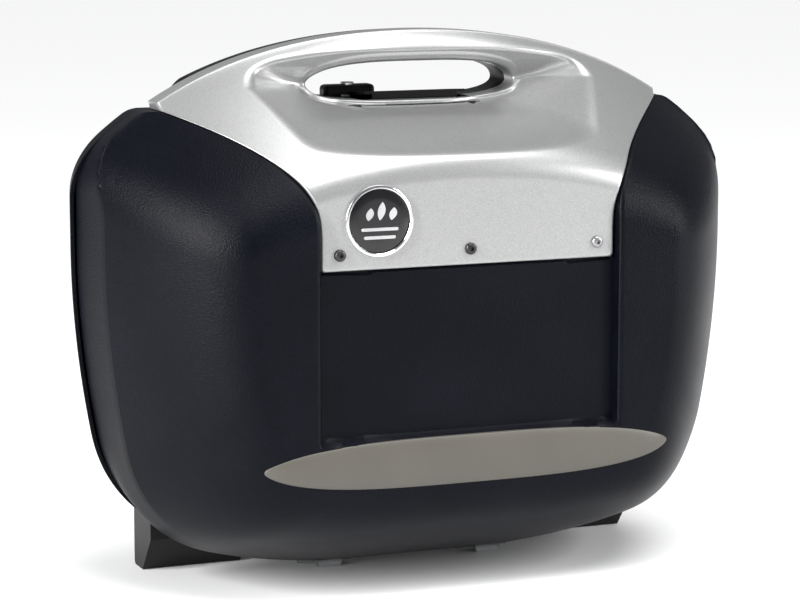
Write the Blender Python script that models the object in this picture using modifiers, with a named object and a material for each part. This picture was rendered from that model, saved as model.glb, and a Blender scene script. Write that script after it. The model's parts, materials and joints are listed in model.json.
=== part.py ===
# Hard-shell motorcycle side case: a deep lid hinged along its lower edge on a
# tapered base tray, with a carrying arch shared by both halves, a pull latch
# and key lock in the arch, a quarter-turn rack bolt and two rack feet.
# Metres.  X is the case's length, -Y the outer (lid) side, +Z up.
import bpy
import bmesh
import math
import numpy as np
from mathutils import Matrix, Vector

# ------------------------------------------------------------ driving sizes
Y_PART = 0.0256          # parting plane of lid and base
GAP = 0.0003             # working gap between touching pieces
HALF_W = 0.2427          # half width of the lid rim at its widest
Z_WIDE = 0.240           # height of the widest point
ARCH_TOP = 0.386         # crown of the carrying arch
Z_DECK = 0.3335          # top of the two tubs, under the finger opening
LID_BAND = 0.042         # straight band behind the lid's shoulder
TOP_BAND = 0.018         # the same along the arch
SIDE_DRAFT = 0.0085      # how far the lid's side band leans in
LOW_DRAFT = 0.0130       # how far its lower band rises
Y_POD = -0.104           # front of the two grained pods
Y_FACE = -0.0958         # recessed middle face
Y_PANEL = -0.098         # face of the front panel
Y_STRIP = -0.1065        # crown of the bumper strip
Y_BACK = 0.0982          # outer face of the base's back wall
WALL = 0.003             # moulded wall
PANEL_T = 0.0027         # panel thickness
PANEL_Z0 = 0.2307        # lower edge of the panel
STEP_X = 0.1095          # inner edge of the pods
SCREW_X = 0.0953
SCREW_Z = 0.2421
BADGE = (-0.0671, 0.2642)
HINGE_Y, HINGE_Z = Y_PART, 0.0046
HINGE_X = 0.062
LATCH_Y, LATCH_Z = 0.0400, 0.3370
LATCH_LIFT = math.radians(4.5)
LOCK_X, LOCK_Y = -0.0330, 0.0510
KNOB_X, KNOB_Z = 0.0, 0.215
BOLT_TRAVEL = 0.008

# ------------------------------------------------------------- clean start
for ob in list(bpy.data.objects):
    bpy.data.objects.remove(ob, do_unlink=True)
for col in list(bpy.data.collections):
    bpy.data.collections.remove(col)
scene = bpy.context.scene
parts = bpy.data.collections.new("side_case")
cutters = bpy.data.collections.new("cutters")
scene.collection.children.link(parts)
scene.collection.children.link(cutters)


# --------------------------------------------------------------- materials
def material(name, colour, rough, metal=0.0):
    m = bpy.data.materials.new(name)
    m.use_nodes = True
    b = m.node_tree.nodes["Principled BSDF"]
    b.inputs["Base Color"].default_value = (*colour, 1.0)
    b.inputs["Roughness"].default_value = rough
    b.inputs["Metallic"].default_value = metal
    m.diffuse_color = (*colour, 1.0)
    return m


# ------------------------------------------------------------ form functions
def smax(a, b, k):
    h = np.maximum(k - np.abs(a - b), 0.0) / k
    return np.maximum(a, b) + h * h * k * 0.25


def smin(a, b, k):
    return -smax(-a, -b, k)


def ell(t, p=2.0):
    t = np.clip(t, 0.0, 1.0)
    return (1.0 - (1.0 - t) ** p) ** (1.0 / p)


def step(t):
    t = np.clip(t, 0.0, 1.0)
    return t * t * (3.0 - 2.0 * t)


def arch(x):
    return ARCH_TOP - 0.95 * x ** 2 - 9.3 * x ** 4


def bottom(x):
    return 1.3 * np.maximum(np.abs(x) - 0.05, 0.0) ** 2


def half_width(z):
    return HALF_W - 0.72 * np.maximum(Z_WIDE - z, 0.0) ** 2


def inward(x, z, grow=0.0, lift=0.0, deck=True):
    """Distance inwards from the tub's outline, seen from the front."""
    top = z - arch(x)
    if deck:
        top = smax(top, z - Z_DECK, 0.004)
    g = smax(np.abs(x) - half_width(z) - grow, top, 0.022)
    return -smax(g, bottom(x) + lift - z, 0.050)


def flare(z):
    """Half width of the front panel: straight, then sweeping to the wings."""
    return 0.1087 + 50.1 * np.maximum(z - 0.25, 0.0) ** 2.6


def body(x, z):
    """Lid form from its side and lower bands to the front of the pods."""
    side = np.abs(x) - half_width(z) + SIDE_DRAFT
    low = bottom(x) + LOW_DRAFT - z
    d = -smax(side, low, 0.050)
    w = step(0.5 + (low - side) / 0.08)
    t = np.clip(d / (0.080 - 0.010 * w), 0, 1)
    band = Y_PART - LID_BAND
    return band + (Y_POD - band) * (1 - (1 - t) ** (1.75 + 0.85 * w))


def top_slope(x, z):
    """Slope under the arch: hollow next to the rim, then sloping out."""
    dt = arch(x) - z
    t = np.clip(dt / 0.088, 0, 1.4)
    return (Y_PART - TOP_BAND) - 0.114 * t ** 0.92 * np.clip(dt / (np.abs(dt) + 0.0022), 0, 1)


def shoulder(x, z):
    """Smooth outer envelope of the lid: pods, shoulders and lower skirt."""
    return smax(body(x, z), top_slope(x, z), 0.032)


def crest(z):
    """Half width of the scoop's rim: straight sides under a half ellipse."""
    low = 0.101 + 0.63 * (z - 0.306)
    high = 0.1288 * np.sqrt(np.clip(1 - ((z - 0.3496) / 0.0344) ** 2, 0, 1))
    return np.where(z <= 0.3496, low, high)


def scoop(x, z):
    """Finger scoop in front of the opening: two decks and sloping ends."""
    deck = np.interp(z, [0.300, 0.306, 0.327, 0.336, 0.350, 0.362, 0.372, 0.390],
                     [-0.104, -0.094, -0.030, 0.012, 0.010, 0.001, -0.004, 0.004])
    side = top_slope(crest(z), z) + 0.75 * (crest(z) - np.abs(x))
    return smin(deck, side, 0.010)


def panel_face(x, z):
    y = smax(body(x, z), Y_PANEL + 0.0 * x, 0.004)
    y = smax(y, top_slope(x, z), 0.016)
    return smax(y, scoop(x, z), 0.006)


def lid_face(x, z):
    """Outer face of the black lid: pods outside, recess and seat inside."""
    pod = shoulder(x, z)
    seat = panel_face(x, z) + PANEL_T + 0.0012
    face = smax(pod, Y_FACE + 0.0 * x, 0.004)
    mid = np.where(z > PANEL_Z0 - 0.0015, np.maximum(seat, face), face)
    low = step((z - 0.112) / 0.006)
    mid = pod + (mid - pod) * low
    return np.where(np.abs(x) < np.maximum(flare(z), STEP_X) + 0.0006, mid, pod)


def lid_hollow(x, z):
    """Smooth face that the lid's cavity follows, before its wall is added."""
    pod = shoulder(x, z)
    seat = panel_face(x, z) + PANEL_T + 0.0012
    mid = smax(np.maximum(seat - 0.004 * step((PANEL_Z0 - 0.012 - z) / 0.02), pod), Y_FACE + 0.0 * x, 0.004)
    w = step((np.maximum(flare(z), STEP_X) + 0.015 - np.abs(x)) / 0.011) * step((z - 0.096) / 0.012)
    return pod + (mid - pod) * w


def base_face(x, z):
    """Outer face of the tapered base tray."""
    d = inward(x, z, 0.0004, 0.0150)
    return Y_PART + 0.014 + (Y_BACK - Y_PART - 0.014) * (1 - (1 - np.clip(d / 0.040, 0, 1)) ** 1.8)


def lens(x):
    """Finger opening: height of its lower and upper edge at x."""
    t = np.clip(np.abs(x) / 0.0794, 0, 1)
    r = (1.0 - t ** 3.2) ** (1.0 / 2.2)
    return 0.3475 - 0.0115 * r, 0.3475 + 0.0160 * r


# ---------------------------------------------------------------- mesh tools
def link(name, mesh, mat, col=None, smooth=30.0):
    ob = bpy.data.objects.new(name, mesh)
    (col or parts).objects.link(ob)
    if mat:
        mesh.materials.append(mat)
    if smooth:
        mesh.shade_smooth()
        mesh.set_sharp_from_angle(angle=math.radians(smooth))
    return ob


def outward(bm):
    bmesh.ops.remove_doubles(bm, verts=bm.verts, dist=0.00002)
    bmesh.ops.recalc_face_normals(bm, faces=bm.faces)
    return bm


def settle(ob):
    """Apply the modifiers, so that the piece can cut or be cut."""
    dg = bpy.context.evaluated_depsgraph_get()
    me = bpy.data.meshes.new_from_object(ob.evaluated_get(dg))
    ob.modifiers.clear()
    ob.data = me
    return ob


def cut(ob, tool, how="DIFFERENCE", keep=False):
    m = ob.modifiers.new("cut", "BOOLEAN")
    m.operation = how
    m.solver = "EXACT"
    m.object = tool
    settle(ob)
    for dist in (0.000006, 0.000002, 0.00001, 0.00002, 0.00004, 0.0):
        bm = bmesh.new()
        bm.from_mesh(ob.data)
        if dist:
            bmesh.ops.remove_doubles(bm, verts=bm.verts, dist=dist)
            bmesh.ops.dissolve_degenerate(bm, edges=bm.edges, dist=dist)
        closed = all(len(e.link_faces) == 2 for e in bm.edges)
        if closed and dist:
            bm.to_mesh(ob.data)
        bm.free()
        if closed:
            break
    if not keep:
        bpy.data.objects.remove(tool, do_unlink=True)
    return ob


def largest(ob):
    """Keep the biggest closed body and drop the shavings that cuts leave."""
    bm = bmesh.new()
    bm.from_mesh(ob.data)
    left, groups = set(bm.faces), []
    while left:
        stack, group = [left.pop()], []
        while stack:
            f = stack.pop()
            group.append(f)
            for e in f.edges:
                for g in e.link_faces:
                    if g in left:
                        left.discard(g)
                        stack.append(g)
        groups.append(group)
    groups.sort(key=lambda g: (len(g), sum(f.calc_area() for f in g)), reverse=True)
    for g in groups[1:]:
        bmesh.ops.delete(bm, geom=g, context="FACES")
    bm.to_mesh(ob.data)
    bm.free()
    return ob


def tool(ob):
    for c in list(ob.users_collection):
        c.objects.unlink(ob)
    cutters.objects.link(ob)
    ob.hide_render = True
    ob.display_type = "WIRE"
    return ob


def box(name, lo, hi, mat=None, bevel=0.0, seg=2):
    bm = bmesh.new()
    bmesh.ops.create_cube(bm, size=1.0)
    lo, hi = Vector(lo), Vector(hi)
    for v in bm.verts:
        v.co = Vector(((hi[i] - lo[i]) * v.co[i] for i in range(3)))
    me = bpy.data.meshes.new(name)
    bm.to_mesh(me)
    bm.free()
    ob = link(name, me, mat)
    ob.location = (lo + hi) / 2
    if bevel:
        b = ob.modifiers.new("round", "BEVEL")
        b.width = bevel
        b.segments = seg
        b.limit_method = "ANGLE"
    return ob


def cylinder(name, centre, radius, depth, axis="Z", mat=None, sides=24, bevel=0.0, r2=None):
    bm = bmesh.new()
    bmesh.ops.create_cone(bm, cap_ends=True, segments=sides, radius1=radius,
                          radius2=radius if r2 is None else r2, depth=depth)
    me = bpy.data.meshes.new(name)
    bm.to_mesh(me)
    bm.free()
    ob = link(name, me, mat)
    ob.location = centre
    if axis == "X":
        ob.rotation_euler = (0, math.pi / 2, 0)
    elif axis == "Y":
        ob.rotation_euler = (math.pi / 2, 0, 0)
    if bevel:
        b = ob.modifiers.new("round", "BEVEL")
        b.width = bevel
        b.segments = 2
        b.limit_method = "ANGLE"
    return ob


def outline_prism(name, pts, y0, y1, mat=None, col=None):
    """A flat outline in X-Z, extruded from y0 to y1."""
    cu = bpy.data.curves.new(name, "CURVE")
    cu.dimensions = "2D"
    cu.fill_mode = "BOTH"
    cu.extrude = abs(y1 - y0) / 2
    sp = cu.splines.new("POLY")
    sp.points.add(len(pts) - 1)
    for p, (x, z) in zip(sp.points, pts):
        p.co = (x, z, 0, 1)
    sp.use_cyclic_u = True
    ob = bpy.data.objects.new(name, cu)
    scene.collection.objects.link(ob)
    ob.rotation_euler = (math.pi / 2, 0, 0)
    ob.location = (0, (y0 + y1) / 2, 0)
    bpy.context.view_layer.update()
    dg = bpy.context.evaluated_depsgraph_get()
    me = bpy.data.meshes.new_from_object(ob.evaluated_get(dg))
    me.transform(ob.matrix_world)
    bpy.data.objects.remove(ob, do_unlink=True)
    bm = bmesh.new()
    bm.from_mesh(me)
    outward(bm)
    bm.to_mesh(me)
    bm.free()
    me.materials.clear()
    return link(name, me, mat, col)


def ease(n, lo=True, hi=True):
    """0..1 in n steps, crowding towards the chosen ends."""
    t = np.linspace(0, 1, n + 1)
    if lo and hi:
        return (1 - np.cos(np.pi * t)) / 2
    if lo:
        return 1 - np.cos(np.pi * t / 2)
    if hi:
        return np.sin(np.pi * t / 2)
    return t


def rim_point(dx, dz, grow, lift, inset=0.0, centre=(0.0, 0.19)):
    """Outline point in a direction from the middle, by bisection."""
    lo = np.zeros_like(dx)
    hi = np.full_like(dx, 0.5)
    for _ in range(40):
        m = (lo + hi) / 2
        ins = inward(centre[0] + m * dx, centre[1] + m * dz, grow, lift) > inset
        lo = np.where(ins, m, lo)
        hi = np.where(ins, hi, m)
    return centre[0] + lo * dx, centre[1] + lo * dz


def tub_grid(grow, lift, n_out, n_mid, n_row, split=True, inset=0.0):
    """Rows of points over the tub's outline, in three blocks side by side.
    The lines between blocks follow the pods' inner edges."""
    a_low, a_top = math.radians(-38.0), math.radians(36.5)
    zc = 0.19
    ang = a_low + (a_top - a_low) * np.linspace(0, 1, n_row + 1)
    # right side of the outline, from lower to upper corner
    rx, rz = rim_point(np.cos(ang), np.sin(ang), grow, lift, inset)
    # lower and upper edge, from the middle to the right corner
    def edge(xs, up):
        lo, hi = np.full_like(xs, 0.19), np.full_like(xs, 0.45 if up else -0.05)
        for _ in range(40):
            m = (lo + hi) / 2
            ins = inward(xs, m, grow, lift) > inset
            lo = np.where(ins, m, lo)
            hi = np.where(ins, hi, m)
        return lo
    t_out = ease(n_out, lo=False, hi=True)
    xm = np.linspace(-1, 1, n_mid + 1)
    rows = []
    s = ease(n_row)
    xb_c, xt_c = STEP_X, flare(np.array([Z_DECK]))[0] - 0.002
    zb_mid = edge(xm * xb_c, False)
    zt_mid = edge(xm * xt_c, True)
    # right block: bottom edge, top edge, inner line, outer line
    bx = xb_c + (rx[0] - xb_c) * t_out
    bz = edge(bx, False)
    bz[-1] = rz[0]
    tx = xt_c + (rx[-1] - xt_c) * t_out
    tz = edge(tx, True)
    tz[-1] = rz[-1]
    zi = zb_mid[-1] + (zt_mid[-1] - zb_mid[-1]) * s
    xi = np.where(zi < 0.25, STEP_X, np.maximum(flare(zi), STEP_X))
    xi[-1] = xt_c
    for j in range(n_row + 1):
        v = s[j]
        # middle block: straight rows whose ends sit on the inner lines
        mx = xm * xi[j]
        lo_z, hi_z = edge(mx, False), edge(mx, True)
        mz = lo_z + (hi_z - lo_z) * v
        mz = mz + (zi[j] - mz[-1]) * np.abs(xm)
        # right block by transfinite interpolation
        u = t_out
        px = ((1 - v) * bx + v * tx + (1 - u) * xi[j] + u * rx_at(rx, s, v)
              - ((1 - u) * (1 - v) * bx[0] + u * (1 - v) * bx[-1]
                 + (1 - u) * v * tx[0] + u * v * tx[-1]))
        pz = ((1 - v) * bz + v * tz + (1 - u) * zi[j] + u * rx_at(rz, s, v)
              - ((1 - u) * (1 - v) * bz[0] + u * (1 - v) * bz[-1]
                 + (1 - u) * v * tz[0] + u * v * tz[-1]))
        if split:      # a doubled line gives the pods a crisp inner edge
            mx[0] += 0.0002
            mx[-1] -= 0.0002
            px[0] += 0.0010
            row_x = np.concatenate([-px[::-1], mx, px])
            row_z = np.concatenate([pz[::-1], mz, pz])
        else:
            row_x = np.concatenate([-px[::-1], mx[1:-1], px])
            row_z = np.concatenate([pz[::-1], mz[1:-1], pz])
        rows.append((row_x, row_z))
    X = np.array([r[0] for r in rows])
    Z = np.array([r[1] for r in rows])
    return X, Z


def rx_at(values, s, v):
    return np.interp(v, s, values)


def tub(name, X, Z, Y, rim, mat=None, swell=0.0):
    """Solid between the sheet over the grid and the flat end of its band."""
    nr, nc = X.shape
    bm = bmesh.new()
    V = [[bm.verts.new((X[j, i], Y[j, i], Z[j, i])) for i in range(nc)] for j in range(nr)]
    for j in range(nr - 1):
        for i in range(nc - 1):
            bm.faces.new((V[j][i], V[j][i + 1], V[j + 1][i + 1], V[j + 1][i]))
    idx = ([(0, i) for i in range(nc)] + [(j, nc - 1) for j in range(1, nr)]
           + [(nr - 1, i) for i in range(nc - 2, -1, -1)] + [(j, 0) for j in range(nr - 2, 0, -1)])
    n = len(idx)
    prev = ring = [V[j][i] for j, i in idx]
    back = rim[-1][0] > float(np.mean(Y))
    for y, RX, RZ in rim:
        new = []
        for (j, i), v in zip(idx, ring):
            yy = max(y, v.co.y + 0.0008) if back else min(y, v.co.y - 0.0008)
            new.append(bm.verts.new((RX[j, i], yy, RZ[j, i])))
        for k in range(n):
            bm.faces.new((prev[k], new[k], new[(k + 1) % n], prev[(k + 1) % n]))
        prev = new
    bm.faces.new(prev)
    outward(bm)
    bmesh.ops.triangulate(bm, faces=bm.faces, quad_method="FIXED")
    if swell:
        bm.normal_update()
        for v, d in [(v, v.normal * swell) for v in bm.verts]:
            v.co += d
    me = bpy.data.meshes.new(name)
    bm.to_mesh(me)
    bm.free()
    return link(name, me, mat)


def offset_face(fun, x, z, t, limit=3.0):
    """Height of a sheet that lies t behind fun, measured square to it."""
    e = 0.0005
    gx = (fun(x + e, z) - fun(x - e, z)) / (2 * e)
    gz = (fun(x, z + e) - fun(x, z - e)) / (2 * e)
    return fun(x, z) + t * np.sqrt(1 + np.minimum(gx * gx + gz * gz, limit * limit))


def slab(name, X, Z, front, back, mat, smooth=30.0, swell=0.0):
    """Closed piece between two sheets over one grid of points."""
    nr, nc = X.shape
    bm = bmesh.new()
    F = [[bm.verts.new((X[j, i], front[j, i], Z[j, i])) for i in range(nc)] for j in range(nr)]
    B = [[bm.verts.new((X[j, i], back[j, i], Z[j, i])) for i in range(nc)] for j in range(nr)]
    for j in range(nr - 1):
        for i in range(nc - 1):
            bm.faces.new((F[j][i], F[j][i + 1], F[j + 1][i + 1], F[j + 1][i]))
            bm.faces.new((B[j][i], B[j + 1][i], B[j + 1][i + 1], B[j][i + 1]))
    loop = ([(0, i) for i in range(nc)] + [(j, nc - 1) for j in range(1, nr)]
            + [(nr - 1, i) for i in range(nc - 2, -1, -1)] + [(j, 0) for j in range(nr - 2, 0, -1)])
    n = len(loop)
    for k in range(n):
        a, b = loop[k], loop[(k + 1) % n]
        bm.faces.new((F[a[0]][a[1]], B[a[0]][a[1]], B[b[0]][b[1]], F[b[0]][b[1]]))
    outward(bm)
    bmesh.ops.triangulate(bm, faces=bm.faces, quad_method="FIXED")
    if swell:
        bm.normal_update()
        for v, d in [(v, v.normal * swell) for v in bm.verts]:
            v.co += d
    me = bpy.data.meshes.new(name)
    bm.to_mesh(me)
    bm.free()
    return link(name, me, mat, smooth=smooth)


# -------------------------------------------------------------------- colours
BLACK = (0.012, 0.014, 0.020)
M = {
    "grain": material("grained_abs", BLACK, 0.42),
    "base": material("base_abs", (0.011, 0.012, 0.015), 0.5),
    "silver": material("silver_paint", (0.62, 0.63, 0.63), 0.28, 0.85),
    "strip": material("strip_grey", (0.115, 0.108, 0.092), 0.55),
    "rubber": material("gasket_rubber", (0.016, 0.016, 0.016), 0.8),
    "steel": material("black_steel", (0.03, 0.03, 0.032), 0.4, 0.9),
    "zinc": material("zinc_steel", (0.45, 0.45, 0.45), 0.35, 1.0),
    "chrome": material("chrome", (0.75, 0.75, 0.76), 0.12, 1.0),
    "badge": material("badge_black", (0.01, 0.01, 0.01), 0.15),
    "web": material("webbing", (0.02, 0.02, 0.022), 0.85),
    "plastic": material("black_nylon", (0.018, 0.018, 0.02), 0.45),
}


def copy_mat(key, name):
    m = M[key].copy()
    m.name = name + "_mat"
    return m


# ------------------------------------------------------------------- the lid
def lid_rings(n_out, n_mid, n_row, split, inset, last):
    """Rims of the lid's band at increasing depth, drafted out to the parting."""
    rings = []
    for y, grow, lift in ((0.0, -0.0052, 0.0080), (0.0100, -0.0032, 0.0055), (Y_PART - GAP, 0.0, 0.0135)):
        X, Z = tub_grid(grow, lift, n_out, n_mid, n_row, split, inset)
        rings.append((y, X, Z))
    if last:
        rings.append((last, rings[-1][1], rings[-1][2]))
    return rings


X, Z = tub_grid(-SIDE_DRAFT, LOW_DRAFT, 7, 8, 20)
Y = np.minimum(lid_face(X, Z), Y_PART - 0.010)
lid_shell = tub("lid_shell", X, Z, Y, lid_rings(7, 8, 20, True, 0.0, None), copy_mat("grain", "lid_shell"))


# ------------------------------------------------------- front panel and arch
def panel_grid(inset, ncol, zs, z0, zd=Z_DECK + 0.0006):
    rows_x, rows_z = [], []
    u = np.linspace(-1, 1, ncol + 1)
    for t in zs:
        if t <= 1.0:                       # plain rows up to the deck
            z = z0 + (zd - z0) * t
            x = u * (flare(z) - inset)
            rows_x.append(x)
            rows_z.append(np.full_like(x, z))
        else:                              # rows of the arch
            v = t - 1.0
            xt = 0.1915 - inset
            w = (flare(zd) - inset) * (1 - v) + xt * v
            x = u * w
            z = zd * (1 - v) + (arch(x) - 0.0002) * v
            rows_x.append(x)
            rows_z.append(z)
    return np.array(rows_x), np.array(rows_z)


t_low = list(np.interp(np.linspace(0, 1, 13), [0, 0.25, 1], [0, 0.62, 1.0]))
ts = t_low + [1.0005] + [1 + v for v in (0.14, 0.32, 0.52, 0.70, 0.86, 1.0)]
n_low = len(t_low)
X, Z = panel_grid(0.0004, 26, ts, PANEL_Z0)
F = np.minimum(panel_face(X, Z), Y_PART - 0.0125)
B = F + PANEL_T
B[n_low:, :] = Y_PART - GAP
front_panel = slab("front_panel", X, Z, F, B, copy_mat("silver", "front_panel"))
# the lid is cleared behind the panel
cut(lid_shell, tool(slab("cut_panel", X, Z, F, B, None, swell=0.0006)))
largest(lid_shell)

xs = 0.0794 * np.cos(np.linspace(math.pi, 0, 16))
lo_z, hi_z = lens(xs)
opening = [(x, z) for x, z in zip(xs, lo_z)] + [(x, z) for x, z in zip(xs[::-1][1:-1], hi_z[::-1][1:-1])]
cut(front_panel, tool(outline_prism("cut_opening", opening, -0.2, 0.2)))

# shallow cut-out in the opening's sill for the latch lever
cut(front_panel, tool(box("cut_lever", (-0.039, Y_PART - 0.0165, 0.3338), (0.045, 0.2, 0.3375))))

# badge seat and screw seats in the panel
for i, x in enumerate((-SCREW_X, 0.0, SCREW_X)):
    cut(front_panel, tool(cylinder("cut_screw", (x, Y_PANEL, SCREW_Z), 0.0021, 0.02, "Y", sides=12)))
    cut(lid_shell, tool(cylinder("cut_screw", (x, Y_PANEL, SCREW_Z), 0.0021, 0.02, "Y", sides=12)))

# bumper strip: a long lens, proud of the skirt
def strip_edges(x):
    r = np.clip(1.0 - (np.abs(x) / 0.1510) ** 3.4, 0, 1) ** 0.62
    return 0.0985 - 0.0178 * r, 0.0985 + 0.0160 * r


n_s = 20
u = np.linspace(-1, 1, n_s + 1)
xs = 0.1507 * np.sin(u * math.pi / 2 * 0.985) / math.sin(math.pi / 2 * 0.985)
lo_z, hi_z = strip_edges(xs * 0.998)
vs = np.linspace(0, 1, 5)
X = np.array([xs for v in vs])
Z = np.array([lo_z + (hi_z - lo_z) * v for v in vs])
env = shoulder(X, Z)
crown = np.array([np.sin(math.pi * v) ** 0.5 * np.ones_like(xs) for v in vs])
ends = ell(1 - np.abs(u))
F = env - 0.0005 - 0.0032 * crown * ends
F = F + (Y_STRIP - F.min())
B = env - 0.0002 - 0.0 * F
F = np.minimum(F, B - 0.0010)
B = np.maximum(B, F + 0.0010) - 0.0004
strip_front = F
bumper_strip = slab("bumper_strip", X, Z, F, B, copy_mat("strip", "bumper_strip"))
# the strip's seat in the shell is a shallow pocket that clears its back
pocket = slab("cut_strip", X, Z, F - 0.02, B, None, swell=0.0005)
cut(lid_shell, tool(pocket))
largest(lid_shell)

# the lid is hollowed last
X, Z = tub_grid(-SIDE_DRAFT, LOW_DRAFT, 6, 8, 14, split=False, inset=WALL)
Y = np.minimum(offset_face(lid_hollow, X, Z, WALL), Y_PART - 0.004)
cut(lid_shell, tool(tub("lid_cavity", X, Z, Y, lid_rings(6, 8, 14, False, WALL, Y_PART + 0.02))))

largest(lid_shell)


# badge: turned bezel with a disc inside it
def turned(name, profile, centre, mat, axis="Y", steps=32):
    """Profile (radius, height) turned about an axis through centre."""
    me = bpy.data.meshes.new(name)
    bm = bmesh.new()
    vs = [bm.verts.new((r, 0, h)) for r, h in profile]
    for a, b in zip(vs, vs[1:]):
        bm.edges.new((a, b))
    bm.edges.new((vs[-1], vs[0])) if profile[0][0] > 0 and profile[-1][0] > 0 else None
    bm.to_mesh(me)
    bm.free()
    ob = link(name, me, mat, smooth=0)
    s = ob.modifiers.new("turn", "SCREW")
    s.axis = "Z"
    s.steps = steps
    s.render_steps = steps
    s.use_merge_vertices = True
    s.merge_threshold = 0.00001
    s.use_smooth_shade = True
    settle(ob)
    bm = bmesh.new()
    bm.from_mesh(ob.data)
    outward(bm)
    bm.to_mesh(ob.data)
    bm.free()
    ob.data.set_sharp_from_angle(angle=math.radians(35))
    if axis == "Y":
        ob.rotation_euler = (math.pi / 2, 0, 0)     # height runs towards -Y
    elif axis == "-Y":
        ob.rotation_euler = (-math.pi / 2, 0, 0)    # height runs towards +Y
    ob.location = centre
    return ob


badge_at = (BADGE[0], Y_PANEL - GAP, BADGE[1])
badge_bezel = turned("badge_bezel", [(0.0245, 0.0), (0.0245, 0.0012), (0.0236, 0.0021), (0.0226, 0.0021),
                                     (0.0216, 0.0013), (0.0216, 0.0)], badge_at, copy_mat("chrome", "badge_bezel"), steps=28)
badge_disc = turned("badge_disc", [(0.0, 0.0), (0.0213, 0.0), (0.0213, 0.0009), (0.0, 0.0012)],
                    badge_at, copy_mat("badge", "badge_disc"), steps=28)

# panel screws: socket button heads on a plain shank
for side, x in (("left", -SCREW_X), ("center", 0.0), ("right", SCREW_X)):
    name = "panel_screw_" + side
    turned(name, [(0.0, -0.0095), (0.0018, -0.0095), (0.0018, 0.0004), (0.0039, 0.0004), (0.0039, 0.0011),
                  (0.0030, 0.0021), (0.0016, 0.0024), (0.0016, 0.0009), (0.0, 0.0009)],
           (x, Y_PANEL, SCREW_Z), copy_mat("steel", name), steps=12)

# keeper in the sill's cut-out, that the latch lip drops in front of
keeper = box("latch_keeper", (-0.0300, 0.0124, 0.33412), (0.0360, 0.0148, 0.3362), copy_mat("zinc", "latch_keeper"))


# ------------------------------------------------------------------ the base
X, Z = tub_grid(0.0004, 0.0150, 6, 8, 14, split=False)
Y = np.maximum(base_face(X, Z), Y_PART + 0.014)
rim_gap = Y_PART + GAP
rim = [(rim_gap, *tub_grid(0.0042, 0.0135, 6, 8, 14, split=False))]
base_shell = tub("base_shell", X, Z, Y, rim, copy_mat("base", "base_shell"))
# the same solid, a working gap larger, trims what fits the base
base_env = tool(tub("base_envelope", X, Z, Y, rim, None, 0.0007))
X, Z = tub_grid(0.0004, 0.0150, 5, 6, 11, split=False, inset=WALL)
Y = np.maximum(-offset_face(lambda a, b: -base_face(a, b), X, Z, WALL), Y_PART + 0.010)
inner_rim = tub_grid(0.0042, 0.0135, 5, 6, 11, split=False, inset=WALL)
cut(base_shell, tool(tub("base_cavity", X, Z, Y, [(rim_gap, *inner_rim), (rim_gap - 0.02, *inner_rim)])))

# rubber seal: a ring standing just inside the base rim
seal_out, seal_in = [], []
ang = np.linspace(0, 2 * math.pi, 41)[:-1]
sx, sz = rim_point(np.cos(ang), np.sin(ang), 0.0042 - 0.0042, 0.0135)
cx, cz = 0.0, 0.19
for x, z in zip(sx, sz):
    d = Vector((x - cx, z - cz)).normalized()
    seal_out.append((x - d.x * 0.0085, z - d.y * 0.0085))
    seal_in.append((x - d.x * 0.0120, z - d.y * 0.0120))
seal = outline_prism("rim_gasket", seal_out, Y_PART + 0.0005, Y_PART + 0.0060, copy_mat("rubber", "rim_gasket"))
cut(seal, tool(outline_prism("cut_seal", seal_in, -0.1, 0.1)))

# rear half of the arch, in black, resting on the base
def arch_grid(n, rows, inset):
    u = np.linspace(-1, 1, n + 1)
    X, Z = [], []
    for v in rows:
        w = 0.176 * (1 - v) + 0.160 * v
        x = u * w
        X.append(x)
        Z.append(0.300 * (1 - v) + (arch(x) - inset) * v)
    return np.array(X), np.array(Z)


X, Z = arch_grid(20, [0, 0.45, 0.65, 0.8, 0.9, 0.97, 1.0], 0.0012)
edge_in = np.minimum((arch(X) - 0.0012 - Z) / 0.010, (0.176 - np.abs(X)) / 0.02)
B = rim_gap + 0.010 + 0.018 * ell(np.clip(edge_in, 0, 1))
rear_handle_half = slab("rear_handle_half", X, Z, np.full_like(X, rim_gap), B, copy_mat("base", "rear_handle_half"))
cut(rear_handle_half, base_env, keep=True)

# two hook feet under the base: gussets that also hook over the rack's rail
foot_profile = [(0.0335, 0.060), (0.0335, 0.0260), (0.0545, 0.0), (0.0720, 0.0), (0.0740, 0.0020), (0.0740, 0.060)]
for side, x0, x1 in (("left", -0.190, -0.116), ("right", 0.116, 0.190)):
    name = "foot_" + side
    cu = bpy.data.curves.new(name, "CURVE")
    cu.dimensions = "2D"
    cu.fill_mode = "BOTH"
    cu.extrude = (x1 - x0) / 2
    sp = cu.splines.new("POLY")
    sp.points.add(len(foot_profile) - 1)
    for p, (y, z) in zip(sp.points, foot_profile):
        p.co = (y, z, 0, 1)
    sp.use_cyclic_u = True
    ob = bpy.data.objects.new(name, cu)
    scene.collection.objects.link(ob)
    ob.rotation_euler = (math.pi / 2, 0, math.pi / 2)
    ob.location = ((x0 + x1) / 2, 0, 0)
    bpy.context.view_layer.update()
    me = bpy.data.meshes.new_from_object(ob.evaluated_get(bpy.context.evaluated_depsgraph_get()))
    me.transform(ob.matrix_world)
    bpy.data.objects.remove(ob, do_unlink=True)
    bm = bmesh.new()
    bm.from_mesh(me)
    outward(bm)
    bm.to_mesh(me)
    bm.free()
    me.materials.clear()
    foot = link(name, me, copy_mat("plastic", name))
    cut(foot, base_env, keep=True)
    # the rail slot: open to the rear, rounded at its end
    slot_x0, slot_x1 = x0 + 0.012, x1 - 0.012
    cut(foot, tool(box("cut_slot", (slot_x0, 0.0600, -0.01), (slot_x1, 0.09, 0.0165))))

# --------------------------------------------------------------- lower hinges
def union(a, b):
    return cut(a, tool(b), "UNION")


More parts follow.
